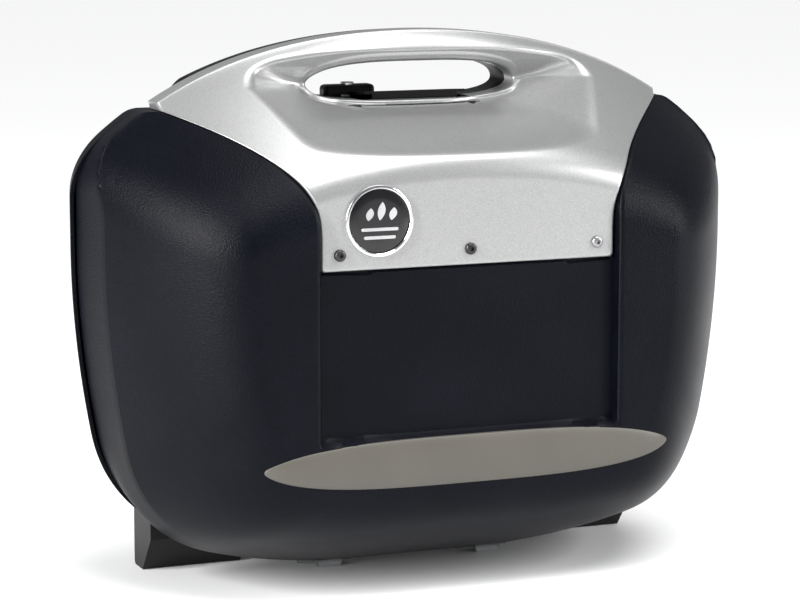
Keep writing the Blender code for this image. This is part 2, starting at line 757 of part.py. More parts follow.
for side, s in (("left", -1), ("right", 1)):
    xc = s * HINGE_X
    # lid knuckle between two base knuckles
    leaf = cylinder("hinge_lid_" + side, (xc, HINGE_Y, HINGE_Z), 0.0038, 0.0194, "X", copy_mat("zinc", "hinge_lid_" + side), 20)
    slope = math.atan2(0.0135, Y_PART)
    plate = box("cut_leaf", (-0.0097, -0.0065, -0.0022), (0.0097, 0.0065, 0.0022))
    plate.location = (0, 0, 0)
    plate.matrix_world = Matrix.Translation((xc, HINGE_Y - 0.0075, HINGE_Z + 0.0017)) @ Matrix.Rotation(slope, 4, "X")
    union(leaf, plate)
    # a rest block under the leaf, level with the feet
    union(leaf, box("cut_rest", (xc - 0.0085, 0.0125, 0.0), (xc + 0.0085, 0.0190, 0.0045)))
    bore = cylinder("cut_bore", (xc, HINGE_Y, HINGE_Z), 0.0018, 0.08, "X", sides=16)
    cut(leaf, tool(bore))
    # base leaf: plate under the tray, web down to two knuckles
    name = "hinge_base_" + side
    base_leaf = box(name, (xc - 0.0200, Y_PART + 0.0008, 0.0110), (xc + 0.0200, Y_PART + 0.0280, 0.0129), copy_mat("zinc", name))
    for k in (-1, 1):
        kx = xc + k * 0.01505
        union(base_leaf, box("cut_web", (kx - 0.0049, Y_PART + 0.0008, HINGE_Z), (kx + 0.0049, Y_PART + 0.0036, 0.0120)))
        union(base_leaf, cylinder("cut_knuckle", (kx, HINGE_Y, HINGE_Z), 0.0038, 0.0098, "X", sides=20))
    cut(base_leaf, tool(cylinder("cut_bore", (xc, HINGE_Y, HINGE_Z), 0.0018, 0.08, "X", sides=16)))
    cylinder("hinge_pin_" + side, (xc, HINGE_Y, HINGE_Z), 0.0014, 0.0440, "X", copy_mat("zinc", "hinge_pin_" + side), 12)

# ------------------------------------------------------------- latch and lock
# pocket in the rear half's sill for the lever and its pin
cut(rear_handle_half, tool(cylinder("cut_pin", (0.003, LATCH_Y, LATCH_Z), 0.0015, 0.0930, "X", sides=14)))
cut(rear_handle_half, tool(box("cut_pocket", (-0.0375, 0.0, 0.3320), (0.0435, 0.0436, 0.3550))))
cylinder("latch_pin", (0.003, LATCH_Y, LATCH_Z), 0.0012, 0.0900, "X", copy_mat("zinc", "latch_pin"), 12)
# lever: barrel, plate and the lip in front of the keeper, shown just released
lever = cylinder("latch_lever", (0.003, LATCH_Y, LATCH_Z), 0.0027, 0.0770, "X", copy_mat("plastic", "latch_lever"), 20)
union(lever, box("cut_plate", (-0.0355, 0.0096, LATCH_Z + 0.0009), (0.0415, LATCH_Y, LATCH_Z + 0.0027)))
union(lever, box("cut_lip", (-0.0295, 0.0096, LATCH_Z - 0.0023), (0.0355, 0.0114, LATCH_Z + 0.0015)))
cut(lever, tool(cylinder("cut_bore", (0.003, LATCH_Y, LATCH_Z), 0.0015, 0.10, "X", sides=14)))
turn = (Matrix.Translation((0, LATCH_Y, LATCH_Z)) @ Matrix.Rotation(-LATCH_LIFT, 4, "X")
        @ Matrix.Translation((0, -LATCH_Y, -LATCH_Z)))
bpy.context.view_layer.update()
lever.matrix_world = turn @ lever.matrix_world

# key lock standing in the sill behind the lever
housing = box("lock_housing", (LOCK_X - 0.0195, 0.0440, 0.3150), (LOCK_X + 0.0195, 0.0580, 0.3446),
              copy_mat("plastic", "lock_housing"), 0.003, 2)
settle(housing)
cut(housing, base_env, keep=True)
cut(housing, tool(cylinder("cut_key", (LOCK_X, LOCK_Y, 0.345), 0.0053, 0.0230, "Z", sides=24)))
cut(rear_handle_half, tool(box("cut_housing", (LOCK_X - 0.0195 - GAP, 0.0440 - GAP, 0.25), (LOCK_X + 0.0195 + GAP, 0.09, 0.3490))))
cut(rear_handle_half, tool(outline_prism("cut_opening", opening, -0.2, 0.2)))
lock = cylinder("lock_cylinder", (LOCK_X, LOCK_Y, 0.3404), 0.0050, 0.0116, "Z", copy_mat("chrome", "lock_cylinder"), 24, 0.0005)
settle(lock)
cut(lock, tool(box("cut_keyway", (LOCK_X - 0.0031, LOCK_Y - 0.0006, 0.3422), (LOCK_X + 0.0031, LOCK_Y + 0.0006, 0.36))))

# --------------------------------------------------------------- rack fixings
RX, RZ = 0.130, (0.112, 0.276)


def rounded_rect(x0, x1, z0, z1, r, n=5):
    pts = []
    for cx, cz, a0 in ((x1 - r, z1 - r, 0), (x0 + r, z1 - r, 90), (x0 + r, z0 + r, 180), (x1 - r, z0 + r, 270)):
        for k in range(n + 1):
            a = math.radians(a0 + 90 * k / n)
            pts.append((cx + r * math.cos(a), cz + r * math.sin(a)))
    return pts


PY0, PY1 = Y_BACK + GAP, Y_BACK + GAP + 0.0020
plate = outline_prism("rack_plate", rounded_rect(-RX, RX, *RZ, 0.018), PY0, PY1, copy_mat("steel", "rack_plate"))
for i, (x, z) in enumerate(((-0.117, 0.126), (0.117, 0.126), (-0.117, 0.236), (0.117, 0.236))):
    name = "plate_screw_%d" % (i + 1)
    for ob in (plate, base_shell):
        cut(ob, tool(cylinder("cut_screw", (x, Y_BACK, z), 0.0023, 0.03, "Y", sides=12)))
    turned(name, [(0.0, -0.0085), (0.0019, -0.0085), (0.0019, GAP), (0.0050, GAP), (0.0048, 0.0010),
                  (0.0030, 0.0020), (0.0, 0.0023)],
           (x, PY1, z), copy_mat("zinc", name), axis="-Y", steps=10)
for side, s in (("left", -1), ("right", 1)):
    name = "rack_hook_" + side
    hook = box(name, (s * 0.090 - 0.013, PY1 + GAP, 0.244), (s * 0.090 + 0.013, PY1 + GAP + 0.0022, 0.272), copy_mat("steel", name))
    union(hook, box("cut_lip", (s * 0.090 - 0.013, PY1 + GAP + 0.0010, 0.2640), (s * 0.090 + 0.013, 0.1065, 0.2715)))
    union(hook, box("cut_tip", (s * 0.090 - 0.013, 0.1045, 0.2540), (s * 0.090 + 0.013, 0.1065, 0.2700)))

# quarter-turn knob inside, its spindle through the wall, and the bolt it draws
for ob, r in ((base_shell, 0.0046), (plate, 0.0046)):
    cut(ob, tool(cylinder("cut_spindle", (KNOB_X, Y_BACK, KNOB_Z), r, 0.03, "Y", sides=20)))
knob = cylinder("rack_knob", (KNOB_X, 0.0902, KNOB_Z), 0.0170, 0.0060, "Y", copy_mat("plastic", "rack_knob"), 32, 0.001)
settle(knob)
union(knob, box("cut_grip", (KNOB_X - 0.0035, 0.0800, KNOB_Z - 0.0150), (KNOB_X + 0.0035, 0.0890, KNOB_Z + 0.0150), None, 0.001))
union(knob, cylinder("cut_shaft", (KNOB_X, 0.0966, KNOB_Z), 0.0040, 0.0100, "Y", sides=20))
hy0, hy1 = PY1 + GAP, 0.1065
name = "rack_bolt_housing"
bolt_box = box(name, (KNOB_X - 0.020, hy0, KNOB_Z - 0.022), (KNOB_X + 0.020, hy1, KNOB_Z + 0.040), copy_mat("steel", name))
cut(bolt_box, tool(box("cut_channel", (KNOB_X - 0.0086, 0.0, KNOB_Z - 0.0130), (KNOB_X + 0.0086, 0.1053, 0.40))))
bolt = box("rack_bolt", (KNOB_X - 0.0080, 0.1022, KNOB_Z - 0.0035), (KNOB_X + 0.0080, 0.1048, KNOB_Z + 0.0500),
           copy_mat("zinc", "rack_bolt"), 0.0008, 1)

# ------------------------------------------------------------ luggage straps
SY = Y_BACK - WALL - GAP - 0.0004
for side, s in (("left", -1), ("right", 1)):
    x = s * 0.078
    strap = box("strap_" + side, (x - 0.0125, SY - 0.0014, 0.0920), (x + 0.0125, SY, 0.2620), copy_mat("web", "strap_" + side))
    for pos, z in (("low", 0.0870), ("high", 0.2670)):
        name = "strap_anchor_%s_%s" % (side, pos)
        a0, a1 = z - 0.0060, z + 0.0060
        anchor = box(name, (x - 0.0180, SY - 0.0035, a0), (x + 0.0180, SY, a1), copy_mat("plastic", name))
        cut(anchor, tool(box("cut_web", (x - 0.0128, SY - 0.0017, z - 0.0009 if pos == "low" else 0.25),
                             (x + 0.0128, SY + 0.01, 0.12 if pos == "low" else z + 0.0009))))
    name = "strap_buckle_" + side
    buckle = box(name, (x - 0.0170, SY - 0.0048, 0.1650), (x + 0.0170, SY - 0.0017, 0.1930), copy_mat("plastic", name), 0.0010, 1)
    settle(buckle)
    cut(buckle, tool(box("cut_slot", (x - 0.0128, 0.0, 0.1700), (x + 0.0128, 0.2, 0.1740))))
    cut(buckle, tool(box("cut_slot", (x - 0.0128, 0.0, 0.1840), (x + 0.0128, 0.2, 0.1880))))

for ob in parts.objects:
    if ob.type == "MESH" and not ob.data.materials:
        ob.data.materials.append(M["plastic"])
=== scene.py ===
# Looks of the hard-shell motorcycle side case: fine surfaces and materials
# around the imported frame.  Metres; X is the length, -Y the outer side, +Z up.
import bpy
import bmesh
import json
import math
import numpy as np
from mathutils import Matrix, Vector

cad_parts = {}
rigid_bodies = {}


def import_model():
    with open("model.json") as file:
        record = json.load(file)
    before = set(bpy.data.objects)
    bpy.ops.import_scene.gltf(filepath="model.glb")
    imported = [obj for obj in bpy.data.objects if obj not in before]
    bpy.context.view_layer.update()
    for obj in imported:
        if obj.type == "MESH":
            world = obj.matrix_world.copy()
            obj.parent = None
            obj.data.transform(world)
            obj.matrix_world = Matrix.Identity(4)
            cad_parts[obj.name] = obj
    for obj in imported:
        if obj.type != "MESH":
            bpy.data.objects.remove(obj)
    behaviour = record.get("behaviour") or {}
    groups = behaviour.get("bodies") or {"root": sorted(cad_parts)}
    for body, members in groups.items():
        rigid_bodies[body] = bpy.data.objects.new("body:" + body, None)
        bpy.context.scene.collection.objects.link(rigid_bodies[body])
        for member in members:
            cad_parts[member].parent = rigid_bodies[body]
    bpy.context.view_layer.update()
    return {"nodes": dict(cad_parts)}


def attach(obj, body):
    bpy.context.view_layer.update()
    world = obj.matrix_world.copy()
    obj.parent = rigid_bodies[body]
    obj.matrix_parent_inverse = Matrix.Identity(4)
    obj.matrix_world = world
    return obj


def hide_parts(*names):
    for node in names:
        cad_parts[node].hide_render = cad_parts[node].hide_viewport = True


for _o in list(bpy.data.objects):
    bpy.data.objects.remove(_o, do_unlink=True)
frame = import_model()
NODES = frame["nodes"]
scene = bpy.context.scene
rng = np.random.default_rng(7)

# ------------------------------------------------------------------- camera
cam_data = bpy.data.cameras.new("camera")
cam_data.lens = 126.0
cam_data.sensor_width = 36.0
cam_data.clip_start, cam_data.clip_end = 0.05, 200.0
camera = bpy.data.objects.new("camera", cam_data)
camera.location = (-0.75249, -1.8319, 0.49919)
camera.rotation_euler = (math.radians(81.2), 0.0, math.radians(-22.0))
scene.collection.objects.link(camera)
scene.camera = camera

# ------------------------------------------------------------ form functions
Y_PART, GAP, HALF_W, Z_WIDE, ARCH_TOP, Z_DECK = 0.0256, 0.0003, 0.2427, 0.240, 0.386, 0.3335
LID_BAND, TOP_BAND, Y_POD, Y_FACE, Y_PANEL, Y_STRIP = 0.042, 0.018, -0.104, -0.0958, -0.098, -0.1065
Y_BACK, WALL, PANEL_T, PANEL_Z0, STEP_X = 0.0982, 0.003, 0.0027, 0.2307, 0.1095
SCREW_X, SCREW_Z = 0.0953, 0.2421
BADGE = (-0.0671, 0.2642)
LATCH_Y, LATCH_Z, LATCH_LIFT = 0.0400, 0.3370, math.radians(4.5)
LOCK_X, LOCK_Y = -0.0330, 0.0510
SIDE_DRAFT, LOW_DRAFT = 0.0085, 0.0130
RIM_GAP = Y_PART + GAP


def smax(a, b, k):
    h = np.maximum(k - np.abs(a - b), 0.0) / k
    return np.maximum(a, b) + h * h * k * 0.25


def smin(a, b, k):
    return -smax(-a, -b, k)


def ell(t, p=2.0):
    t = np.clip(t, 0.0, 1.0)
    return (1.0 - (1.0 - t) ** p) ** (1.0 / p)


def step(t):
    t = np.clip(t, 0.0, 1.0)
    return t * t * (3.0 - 2.0 * t)


def arch(x):
    return ARCH_TOP - 0.95 * x ** 2 - 9.3 * x ** 4


def bottom(x):
    return 1.3 * np.maximum(np.abs(x) - 0.05, 0.0) ** 2


def half_width(z):
    return HALF_W - 0.72 * np.maximum(Z_WIDE - z, 0.0) ** 2


def inward(x, z, grow=0.0, lift=0.0):
    top = smax(z - arch(x), z - Z_DECK, 0.004)
    g = smax(np.abs(x) - half_width(z) - grow, top, 0.022)
    return -smax(g, bottom(x) + lift - z, 0.050)


def flare(z):
    return 0.1087 + 50.1 * np.maximum(z - 0.25, 0.0) ** 2.6


def body(x, z):
    """Lid form from its side and lower bands to the front of the pods."""
    side = np.abs(x) - half_width(z) + SIDE_DRAFT
    low = bottom(x) + LOW_DRAFT - z
    d = -smax(side, low, 0.050)
    w = step(0.5 + (low - side) / 0.08)
    t = np.clip(d / (0.080 - 0.010 * w), 0, 1)
    band = Y_PART - LID_BAND
    return band + (Y_POD - band) * (1 - (1 - t) ** (1.75 + 0.85 * w))


def top_slope(x, z):
    """Slope under the arch: hollow next to the rim, then sloping out."""
    dt = arch(x) - z
    t = np.clip(dt / 0.088, 0, 1.4)
    return (Y_PART - TOP_BAND) - 0.114 * t ** 0.92 * np.clip(dt / (np.abs(dt) + 0.0022), 0, 1)


def shoulder(x, z):
    return smax(body(x, z), top_slope(x, z), 0.032)


def crest(z):
    """Half width of the scoop's rim: straight sides under a half ellipse."""
    low = 0.101 + 0.63 * (z - 0.306)
    high = 0.1288 * np.sqrt(np.clip(1 - ((z - 0.3496) / 0.0344) ** 2, 0, 1))
    return np.where(z <= 0.3496, low, high)


DECK_Z = np.array([0.300, 0.306, 0.327, 0.336, 0.350, 0.362, 0.372, 0.390])
DECK_Y = np.array([-0.104, -0.094, -0.030, 0.012, 0.010, 0.001, -0.004, 0.004])


def smooth_table(zs, ys, width):
    """Table of heights, rounded over by a moving average of the given width."""
    t = np.linspace(zs[0] - 0.02, zs[-1] + 0.02, 3000)
    v = np.interp(t, zs, ys)
    n = max(int(width / (t[1] - t[0])), 1)
    k = np.hanning(n + 2)[1:-1]
    k /= k.sum()
    pad = np.concatenate([np.full(n, v[0]), v, np.full(n, v[-1])])
    return t, np.convolve(pad, k, "same")[n:-n]


DECK_T, DECK_V = smooth_table(DECK_Z, DECK_Y, 0.0042)


def scoop(x, z):
    deck = np.interp(z, DECK_T, DECK_V)
    side = top_slope(crest(z), z) + 0.75 * (crest(z) - np.abs(x))
    return smin(deck, side, 0.010)


def panel_face(x, z):
    y = smax(body(x, z), Y_PANEL + 0.0 * x, 0.004)
    y = smax(y, top_slope(x, z), 0.016)
    return smax(y, scoop(x, z), 0.006)


def seat(x, z):
    return panel_face(x, z) + PANEL_T + 0.0012


def base_face(x, z):
    d = inward(x, z, 0.0004, 0.0150)
    return Y_PART + 0.014 + (Y_BACK - Y_PART - 0.014) * (1 - (1 - np.clip(d / 0.040, 0, 1)) ** 1.8)


def strip_edges(x):
    r = np.clip(1.0 - (np.abs(x) / 0.1510) ** 3.4, 0, 1) ** 0.62
    return 0.0985 - 0.0178 * r, 0.0985 + 0.0160 * r


# ---------------------------------------------------------------- mesh tools
def make(name, co, faces, mat, body, node=None, smooth=35.0, slot=None):
    me = bpy.data.meshes.new(name)
    me.from_pydata([tuple(map(float, c)) for c in co], [], faces)
    bm = bmesh.new()
    bm.from_mesh(me)
    bmesh.ops.remove_doubles(bm, verts=bm.verts, dist=0.000005)
    bmesh.ops.recalc_face_normals(bm, faces=bm.faces)
    bm.to_mesh(me)
    bm.free()
    me.materials.append(mat)
    me.shade_smooth()
    if smooth:
        me.set_sharp_from_angle(angle=math.radians(smooth))
    ob = bpy.data.objects.new(name, me)
    scene.collection.objects.link(ob)
    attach(ob, body)
    if node:
        for n in ([node] if isinstance(node, str) else node):
            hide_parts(n)
    return ob


def loops(rings, close=True, caps=False):
    """Vertices and quads of rings of equal length, each a closed loop."""
    n = len(rings[0])
    co = np.concatenate(rings)
    faces = []
    m = len(rings)
    for j in range(m if close else m - 1):
        a, b = j * n, ((j + 1) % m) * n
        for i in range(n):
            k = (i + 1) % n
            faces.append((a + i, a + k, b + k, b + i))
    if caps and not close:
        faces.append(tuple(range(n)))
        faces.append(tuple(range((m - 1) * n, m * n))[::-1])
    return co, faces


def from_bm(name, bm, mat, body, node=None, smooth=35.0):
    me = bpy.data.meshes.new(name)
    bmesh.ops.recalc_face_normals(bm, faces=bm.faces)
    bm.to_mesh(me)
    bm.free()
    me.materials.append(mat)
    me.shade_smooth()
    if smooth:
        me.set_sharp_from_angle(angle=math.radians(smooth))
    ob = bpy.data.objects.new(name, me)
    scene.collection.objects.link(ob)
    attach(ob, body)
    if node:
        for n in ([node] if isinstance(node, str) else node):
            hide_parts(n)
    return ob


def turned_bm(profile, centre, axis, steps=96, bm=None):
    """Profile (radius, height) turned about an axis; height runs along it."""
    bm = bm or bmesh.new()
    axis = Vector(axis).normalized()
    q = Vector((0, 0, 1)).rotation_difference(axis)
    rows = []
    for r, h in profile:
        if r < 1e-9:
            rows.append([bm.verts.new(Vector(centre) + q @ Vector((0, 0, h)))])
        else:
            rows.append([bm.verts.new(Vector(centre) + q @ Vector((r * math.cos(2 * math.pi * k / steps), r * math.sin(2 * math.pi * k / steps), h))) for k in range(steps)])
    for a, b in zip(rows, rows[1:]):
        for k in range(steps):
            m = (k + 1) % steps
            if len(a) == 1 and len(b) > 1:
                bm.faces.new((a[0], b[k], b[m]))
            elif len(b) == 1 and len(a) > 1:
                bm.faces.new((a[k], b[0], a[m]))
            elif len(a) > 1:
                bm.faces.new((a[k], b[k], b[m], a[m]))
    return bm


def rounded_box_bm(lo, hi, r, seg=3, bm=None):
    bm = bm or bmesh.new()
    part = bmesh.new()
    bmesh.ops.create_cube(part, size=1.0)
    lo, hi = Vector(lo), Vector(hi)
    for v in part.verts:
        v.co = Vector(((lo[i] + hi[i]) / 2 + (hi[i] - lo[i]) * v.co[i] for i in range(3)))
    bmesh.ops.bevel(part, geom=part.edges[:], offset=r, segments=seg, affect="EDGES", profile=0.5)
    me = bpy.data.meshes.new("tmp")
    part.to_mesh(me)
    part.free()
    bm.from_mesh(me)
    bpy.data.meshes.remove(me)
    return bm


def resample(pts, n, closed=False):
    pts = np.asarray(pts, float)
    if closed:
        pts = np.vstack([pts, pts[:1]])
    s = np.concatenate([[0], np.cumsum(np.linalg.norm(np.diff(pts, axis=0), axis=1))])
    t = np.linspace(0, s[-1], n + 1)[:n] if closed else np.linspace(0, s[-1], n)
    return np.stack([np.interp(t, s, pts[:, k]) for k in range(pts.shape[1])], 1)


# ----------------------------------------------------------------- materials
def nodes_of(name, rough=0.4, metal=0.0, colour=(0.5, 0.5, 0.5)):
    m = bpy.data.materials.new(name)
    m.use_nodes = True
    nt = m.node_tree
    b = nt.nodes["Principled BSDF"]
    b.inputs["Base Color"].default_value = (*colour, 1.0)
    b.inputs["Roughness"].default_value = rough
    b.inputs["Metallic"].default_value = metal
    return m, nt, b


def coords(nt):
    t = nt.nodes.new("ShaderNodeTexCoord")
    return t.outputs["Object"]


def noise(nt, vec, scale, detail=2.0, rough=0.5):
    n = nt.nodes.new("ShaderNodeTexNoise")
    n.inputs["Scale"].default_value = scale
    n.inputs["Detail"].default_value = detail
    n.inputs["Roughness"].default_value = rough
    nt.links.new(vec, n.inputs["Vector"])
    return n.outputs["Fac"]


def ramp(nt, fac, stops):
    r = nt.nodes.new("ShaderNodeValToRGB")
    el = r.color_ramp.elements
    el[0].position, el[0].color = stops[0][0], (*stops[0][1], 1)
    el[1].position, el[1].color = stops[-1][0], (*stops[-1][1], 1)
    for p, c in stops[1:-1]:
        e = el.new(p)
        e.color = (*c, 1)
    nt.links.new(fac, r.inputs["Fac"])
    return r.outputs["Color"]


def math_node(nt, op, a, b=None, clamp=False):
    n = nt.nodes.new("ShaderNodeMath")
    n.operation = op
    n.use_clamp = clamp
    for i, v in enumerate((a, b)):
        if v is None:
            continue
        if isinstance(v, (int, float)):
            n.inputs[i].default_value = v
        else:
            nt.links.new(v, n.inputs[i])
    return n.outputs[0]


def bump(nt, b, height, strength, dist):
    n = nt.nodes.new("ShaderNodeBump")
    n.inputs["Strength"].default_value = strength
    n.inputs["Distance"].default_value = dist
    nt.links.new(height, n.inputs["Height"])
    nt.links.new(n.outputs["Normal"], b.inputs["Normal"])
    return n


def voronoi(nt, vec, scale, feature="F1", out="Distance"):
    v = nt.nodes.new("ShaderNodeTexVoronoi")
    v.feature = feature
    v.inputs["Scale"].default_value = scale
    nt.links.new(vec, v.inputs["Vector"])
    return v.outputs[out]


def grained(name, colour, rough=0.36, grain=0.35, scale=900.0, spec=0.5, skirt=True):
    """Moulded ABS with a fine leather-like grain; lighter specks painted into the colour stand in for glints of light
    on the grain.
    """
    m, nt, b = nodes_of(name, rough, 0.0, colour)
    b.inputs["Specular IOR Level"].default_value = spec
    vec = coords(nt)
    v = voronoi(nt, vec, scale, "SMOOTH_F1")
    n1 = noise(nt, vec, scale * 1.7, 2.0, 0.6)
    n2 = noise(nt, vec, 14.0, 3.0, 0.5)
    h = math_node(nt, "ADD", v, math_node(nt, "MULTIPLY", n1, 0.7))
    if skirt:
        sep = nt.nodes.new("ShaderNodeSeparateXYZ")
        nt.links.new(vec, sep.inputs[0])
        mr = nt.nodes.new("ShaderNodeMapRange")
        mr.inputs["From Min"].default_value = 0.070
        mr.inputs["From Max"].default_value = 0.125
        mr.inputs["To Min"].default_value = 0.22
        mr.inputs["To Max"].default_value = 1.0
        nt.links.new(sep.outputs["Z"], mr.inputs["Value"])
        h = math_node(nt, "MULTIPLY", h, mr.outputs[0])
    bump(nt, b, h, grain, 0.0004)
    # colour ramp: the dark and middle stops are random tone; the light stop is painted highlight, specks of glint on
    # the grain
    c = ramp(nt, math_node(nt, "ADD", math_node(nt, "MULTIPLY", n1, 0.75), math_node(nt, "MULTIPLY", n2, 0.25)),
             [(0.30, tuple(x * 0.55 for x in colour)), (0.52, colour), (0.72, tuple(min(x * 2.4 + 0.004, 1) for x in colour))])
    nt.links.new(c, b.inputs["Base Color"])
    r = nt.nodes.new("ShaderNodeMapRange")
    r.inputs["To Min"].default_value = rough - 0.06
    r.inputs["To Max"].default_value = rough + 0.08
    nt.links.new(n2, r.inputs["Value"])
    nt.links.new(r.outputs[0], b.inputs["Roughness"])
    return m


def silver(name):
    """Satin metallic paint: flakes in the colour, a soft clear coat."""
    m, nt, b = nodes_of(name, 0.33, 0.62, (0.60, 0.61, 0.61))
    b.inputs["Coat Weight"].default_value = 0.35
    b.inputs["Coat Roughness"].default_value = 0.16
    vec = coords(nt)
    flakes = voronoi(nt, vec, 2600.0, "F1", "Color")
    fine = noise(nt, vec, 1800.0, 2.0, 0.7)
    broad = noise(nt, vec, 9.0, 2.0, 0.5)
    mix = math_node(nt, "ADD", math_node(nt, "MULTIPLY", flakes, 0.35), math_node(nt, "MULTIPLY", fine, 0.65))
    c = ramp(nt, mix, [(0.25, (0.265, 0.267, 0.268)), (0.50, (0.345, 0.347, 0.346)), (0.80, (0.45, 0.452, 0.45))])
    nt.links.new(c, b.inputs["Base Color"])
    r = nt.nodes.new("ShaderNodeMapRange")
    r.inputs["To Min"].default_value = 0.30
    r.inputs["To Max"].default_value = 0.38
    nt.links.new(broad, r.inputs["Value"])
    nt.links.new(r.outputs[0], b.inputs["Roughness"])
    bump(nt, b, fine, 0.05, 0.0001)
    return m


def plastic(name, colour, rough=0.5, scale=600.0, grain=0.15, spec=0.5):
    m, nt, b = nodes_of(name, rough, 0.0, colour)
    b.inputs["Specular IOR Level"].default_value = spec
    vec = coords(nt)
    n1 = noise(nt, vec, scale, 3.0, 0.6)
    n2 = noise(nt, vec, 25.0, 3.0, 0.6)
    c = ramp(nt, n2, [(0.30, tuple(x * 0.95 for x in colour)), (0.70, tuple(min(x * 1.05, 1) for x in colour))])
    nt.links.new(c, b.inputs["Base Color"])
    r = nt.nodes.new("ShaderNodeMapRange")
    r.inputs["To Min"].default_value = rough - 0.07
    r.inputs["To Max"].default_value = rough + 0.07
    nt.links.new(n2, r.inputs["Value"])
    nt.links.new(r.outputs[0], b.inputs["Roughness"])
    bump(nt, b, n1, grain, 0.0003)
    return m


def metal(name, colour, rough=0.3, brushed=(1, 1, 1), scratch=0.12, metallic=1.0):
    m, nt, b = nodes_of(name, rough, metallic, colour)
    vec = coords(nt)
    mp = nt.nodes.new("ShaderNodeMapping")
    mp.inputs["Scale"].default_value = brushed
    nt.links.new(vec, mp.inputs["Vector"])
    n1 = noise(nt, mp.outputs[0], 700.0, 4.0, 0.7)
    n2 = noise(nt, vec, 60.0, 3.0, 0.6)
    c = ramp(nt, n2, [(0.25, tuple(x * 0.80 for x in colour)), (0.75, tuple(min(x * 1.12, 1) for x in colour))])
    nt.links.new(c, b.inputs["Base Color"])
    r = nt.nodes.new("ShaderNodeMapRange")
    r.inputs["To Min"].default_value = max(rough - 0.08, 0.03)
    r.inputs["To Max"].default_value = rough + 0.10
    nt.links.new(n1, r.inputs["Value"])
    nt.links.new(r.outputs[0], b.inputs["Roughness"])
    bump(nt, b, n1, scratch, 0.0001)
    return m


def webbing(name):
    m, nt, b = nodes_of(name, 0.82, 0.0, (0.02, 0.02, 0.022))
    b.inputs["Sheen Weight"].default_value = 0.3
    vec = coords(nt)
    sep = nt.nodes.new("ShaderNodeSeparateXYZ")
    nt.links.new(vec, sep.inputs[0])
    u = math_node(nt, "SINE", math_node(nt, "MULTIPLY", sep.outputs["X"], 2 * math.pi / 0.0016))
    w = math_node(nt, "SINE", math_node(nt, "MULTIPLY", sep.outputs["Z"], 2 * math.pi / 0.0022))
    h = math_node(nt, "MULTIPLY", u, w)
    c = ramp(nt, math_node(nt, "ADD", math_node(nt, "MULTIPLY", h, 0.5), 0.5), [(0.1, (0.010, 0.010, 0.011)), (0.9, (0.036, 0.036, 0.038))])
    nt.links.new(c, b.inputs["Base Color"])
    bump(nt, b, h, 0.8, 0.0003)
    return m


GRAIN = grained("grained_abs", (0.0012, 0.0016, 0.0038), 0.34, 0.60, 1000.0, 0.09)
BASE = grained("base_abs", (0.0018, 0.0020, 0.0034), 0.40, 0.45, 1000.0, 0.10, False)
SILVER = silver("silver_paint")
STRIP = plastic("strip_grey", (0.074, 0.068, 0.057), 0.46, 700.0, 0.12, 0.5)
RUBBER = plastic("gasket_rubber", (0.014, 0.014, 0.014), 0.78, 900.0, 0.3, 0.3)
NYLON = plastic("black_nylon", (0.003, 0.003, 0.0035), 0.40, 900.0, 0.12, 0.16)
STEEL = metal("black_steel", (0.035, 0.035, 0.037), 0.42, (1, 1, 1), 0.2, 0.4)
ZINC = metal("zinc_steel", (0.52, 0.53, 0.54), 0.30, (1, 1, 8), 0.15)
CHROME = metal("chrome", (0.80, 0.80, 0.82), 0.11, (1, 1, 1), 0.03)
GLOSS = plastic("badge_black", (0.006, 0.006, 0.007), 0.16, 500.0, 0.02, 0.5)
WEB = webbing("webbing")
EMBLEM = metal("emblem_silver", (0.66, 0.66, 0.67), 0.30, (1, 1, 1), 0.10)

# ------------------------------------------------------- front panel and arch
N = 720


def opening_loop(n):
    th = np.linspace(0, 2 * math.pi, 8001)[:-1]
    c, s = np.cos(th), np.sin(th)
    h = np.where(s > 0, 0.0160, 0.0115)
    x = 0.0794 * np.sign(c) * np.abs(c) ** (2 / 3.2)
    z = 0.3475 + h * np.sign(s) * np.abs(s) ** (2 / 2.2)
    return resample(np.stack([x, z], 1), n, True)


def outline_loop(inset, wing=0.1915):
    """Panel outline from the right wing over the arch to the left and back."""
    xt = wing - inset
    xa = np.linspace(xt, -xt, 900)
    top = np.stack([xa, arch(xa) - 0.0002 - inset * 0.6], 1)
    zs = np.linspace(Z_DECK + 0.0006, PANEL_Z0 + inset, 700)
    left = np.stack([-(flare(zs) - inset), zs], 1)
    r = 0.0028
    a = np.linspace(math.pi, 1.5 * math.pi, 12)
    x0 = -(flare(PANEL_Z0) - inset)
    corner = np.stack([x0 + r + r * np.cos(a), PANEL_Z0 + inset + r + r * np.sin(a)], 1)
    left = left[left[:, 1] > PANEL_Z0 + inset + r]
    half = np.vstack([left, corner])
    right = half[::-1] * np.array([-1, 1])
    xb = np.linspace(corner[-1, 0], -corner[-1, 0], 300)[1:-1]
    bot = np.stack([xb, np.full_like(xb, PANEL_Z0 + inset)], 1)
    return top, np.vstack([half, bot, right])


def paired_outer(inset, n_top, n_low):
    top, low = outline_loop(inset)
    t = resample(top, n_top + 1)[:-1]
    b = resample(low, n_low + 1)[:-1]
    return np.vstack([t, b])


inner = opening_loop(N)
# the inner loop's own right end is index 0; share the columns by its arcs
i_left = int(np.argmin(inner[:, 0]))
n_top, n_low = i_left, N - i_left
# more columns for the long lower outline: re-space the inner loop to suit
n_top = int(N * 0.42)
n_low = N - n_top
in_top = resample(inner[: i_left + 1], n_top + 1)[:-1]
in_low = resample(np.vstack([inner[i_left:], inner[:1]]), n_low + 1)[:-1]
inner = np.vstack([in_top, in_low])
tang = np.roll(inner, -1, 0) - np.roll(inner, 1, 0)
nrm = np.stack([tang[:, 1], -tang[:, 0]], 1)
nrm /= np.linalg.norm(nrm, axis=1)[:, None]
nrm *= np.sign(((inner - [0, 0.349]) * nrm).sum(1))[:, None]
upness = step((inner[:, 1] - 0.345) / 0.012)
lip = 0.0018 + 0.0046 * upness                 # rounder under the grip


def ring3(p, y):
    return np.stack([p[:, 0], y, p[:, 1]], 1)


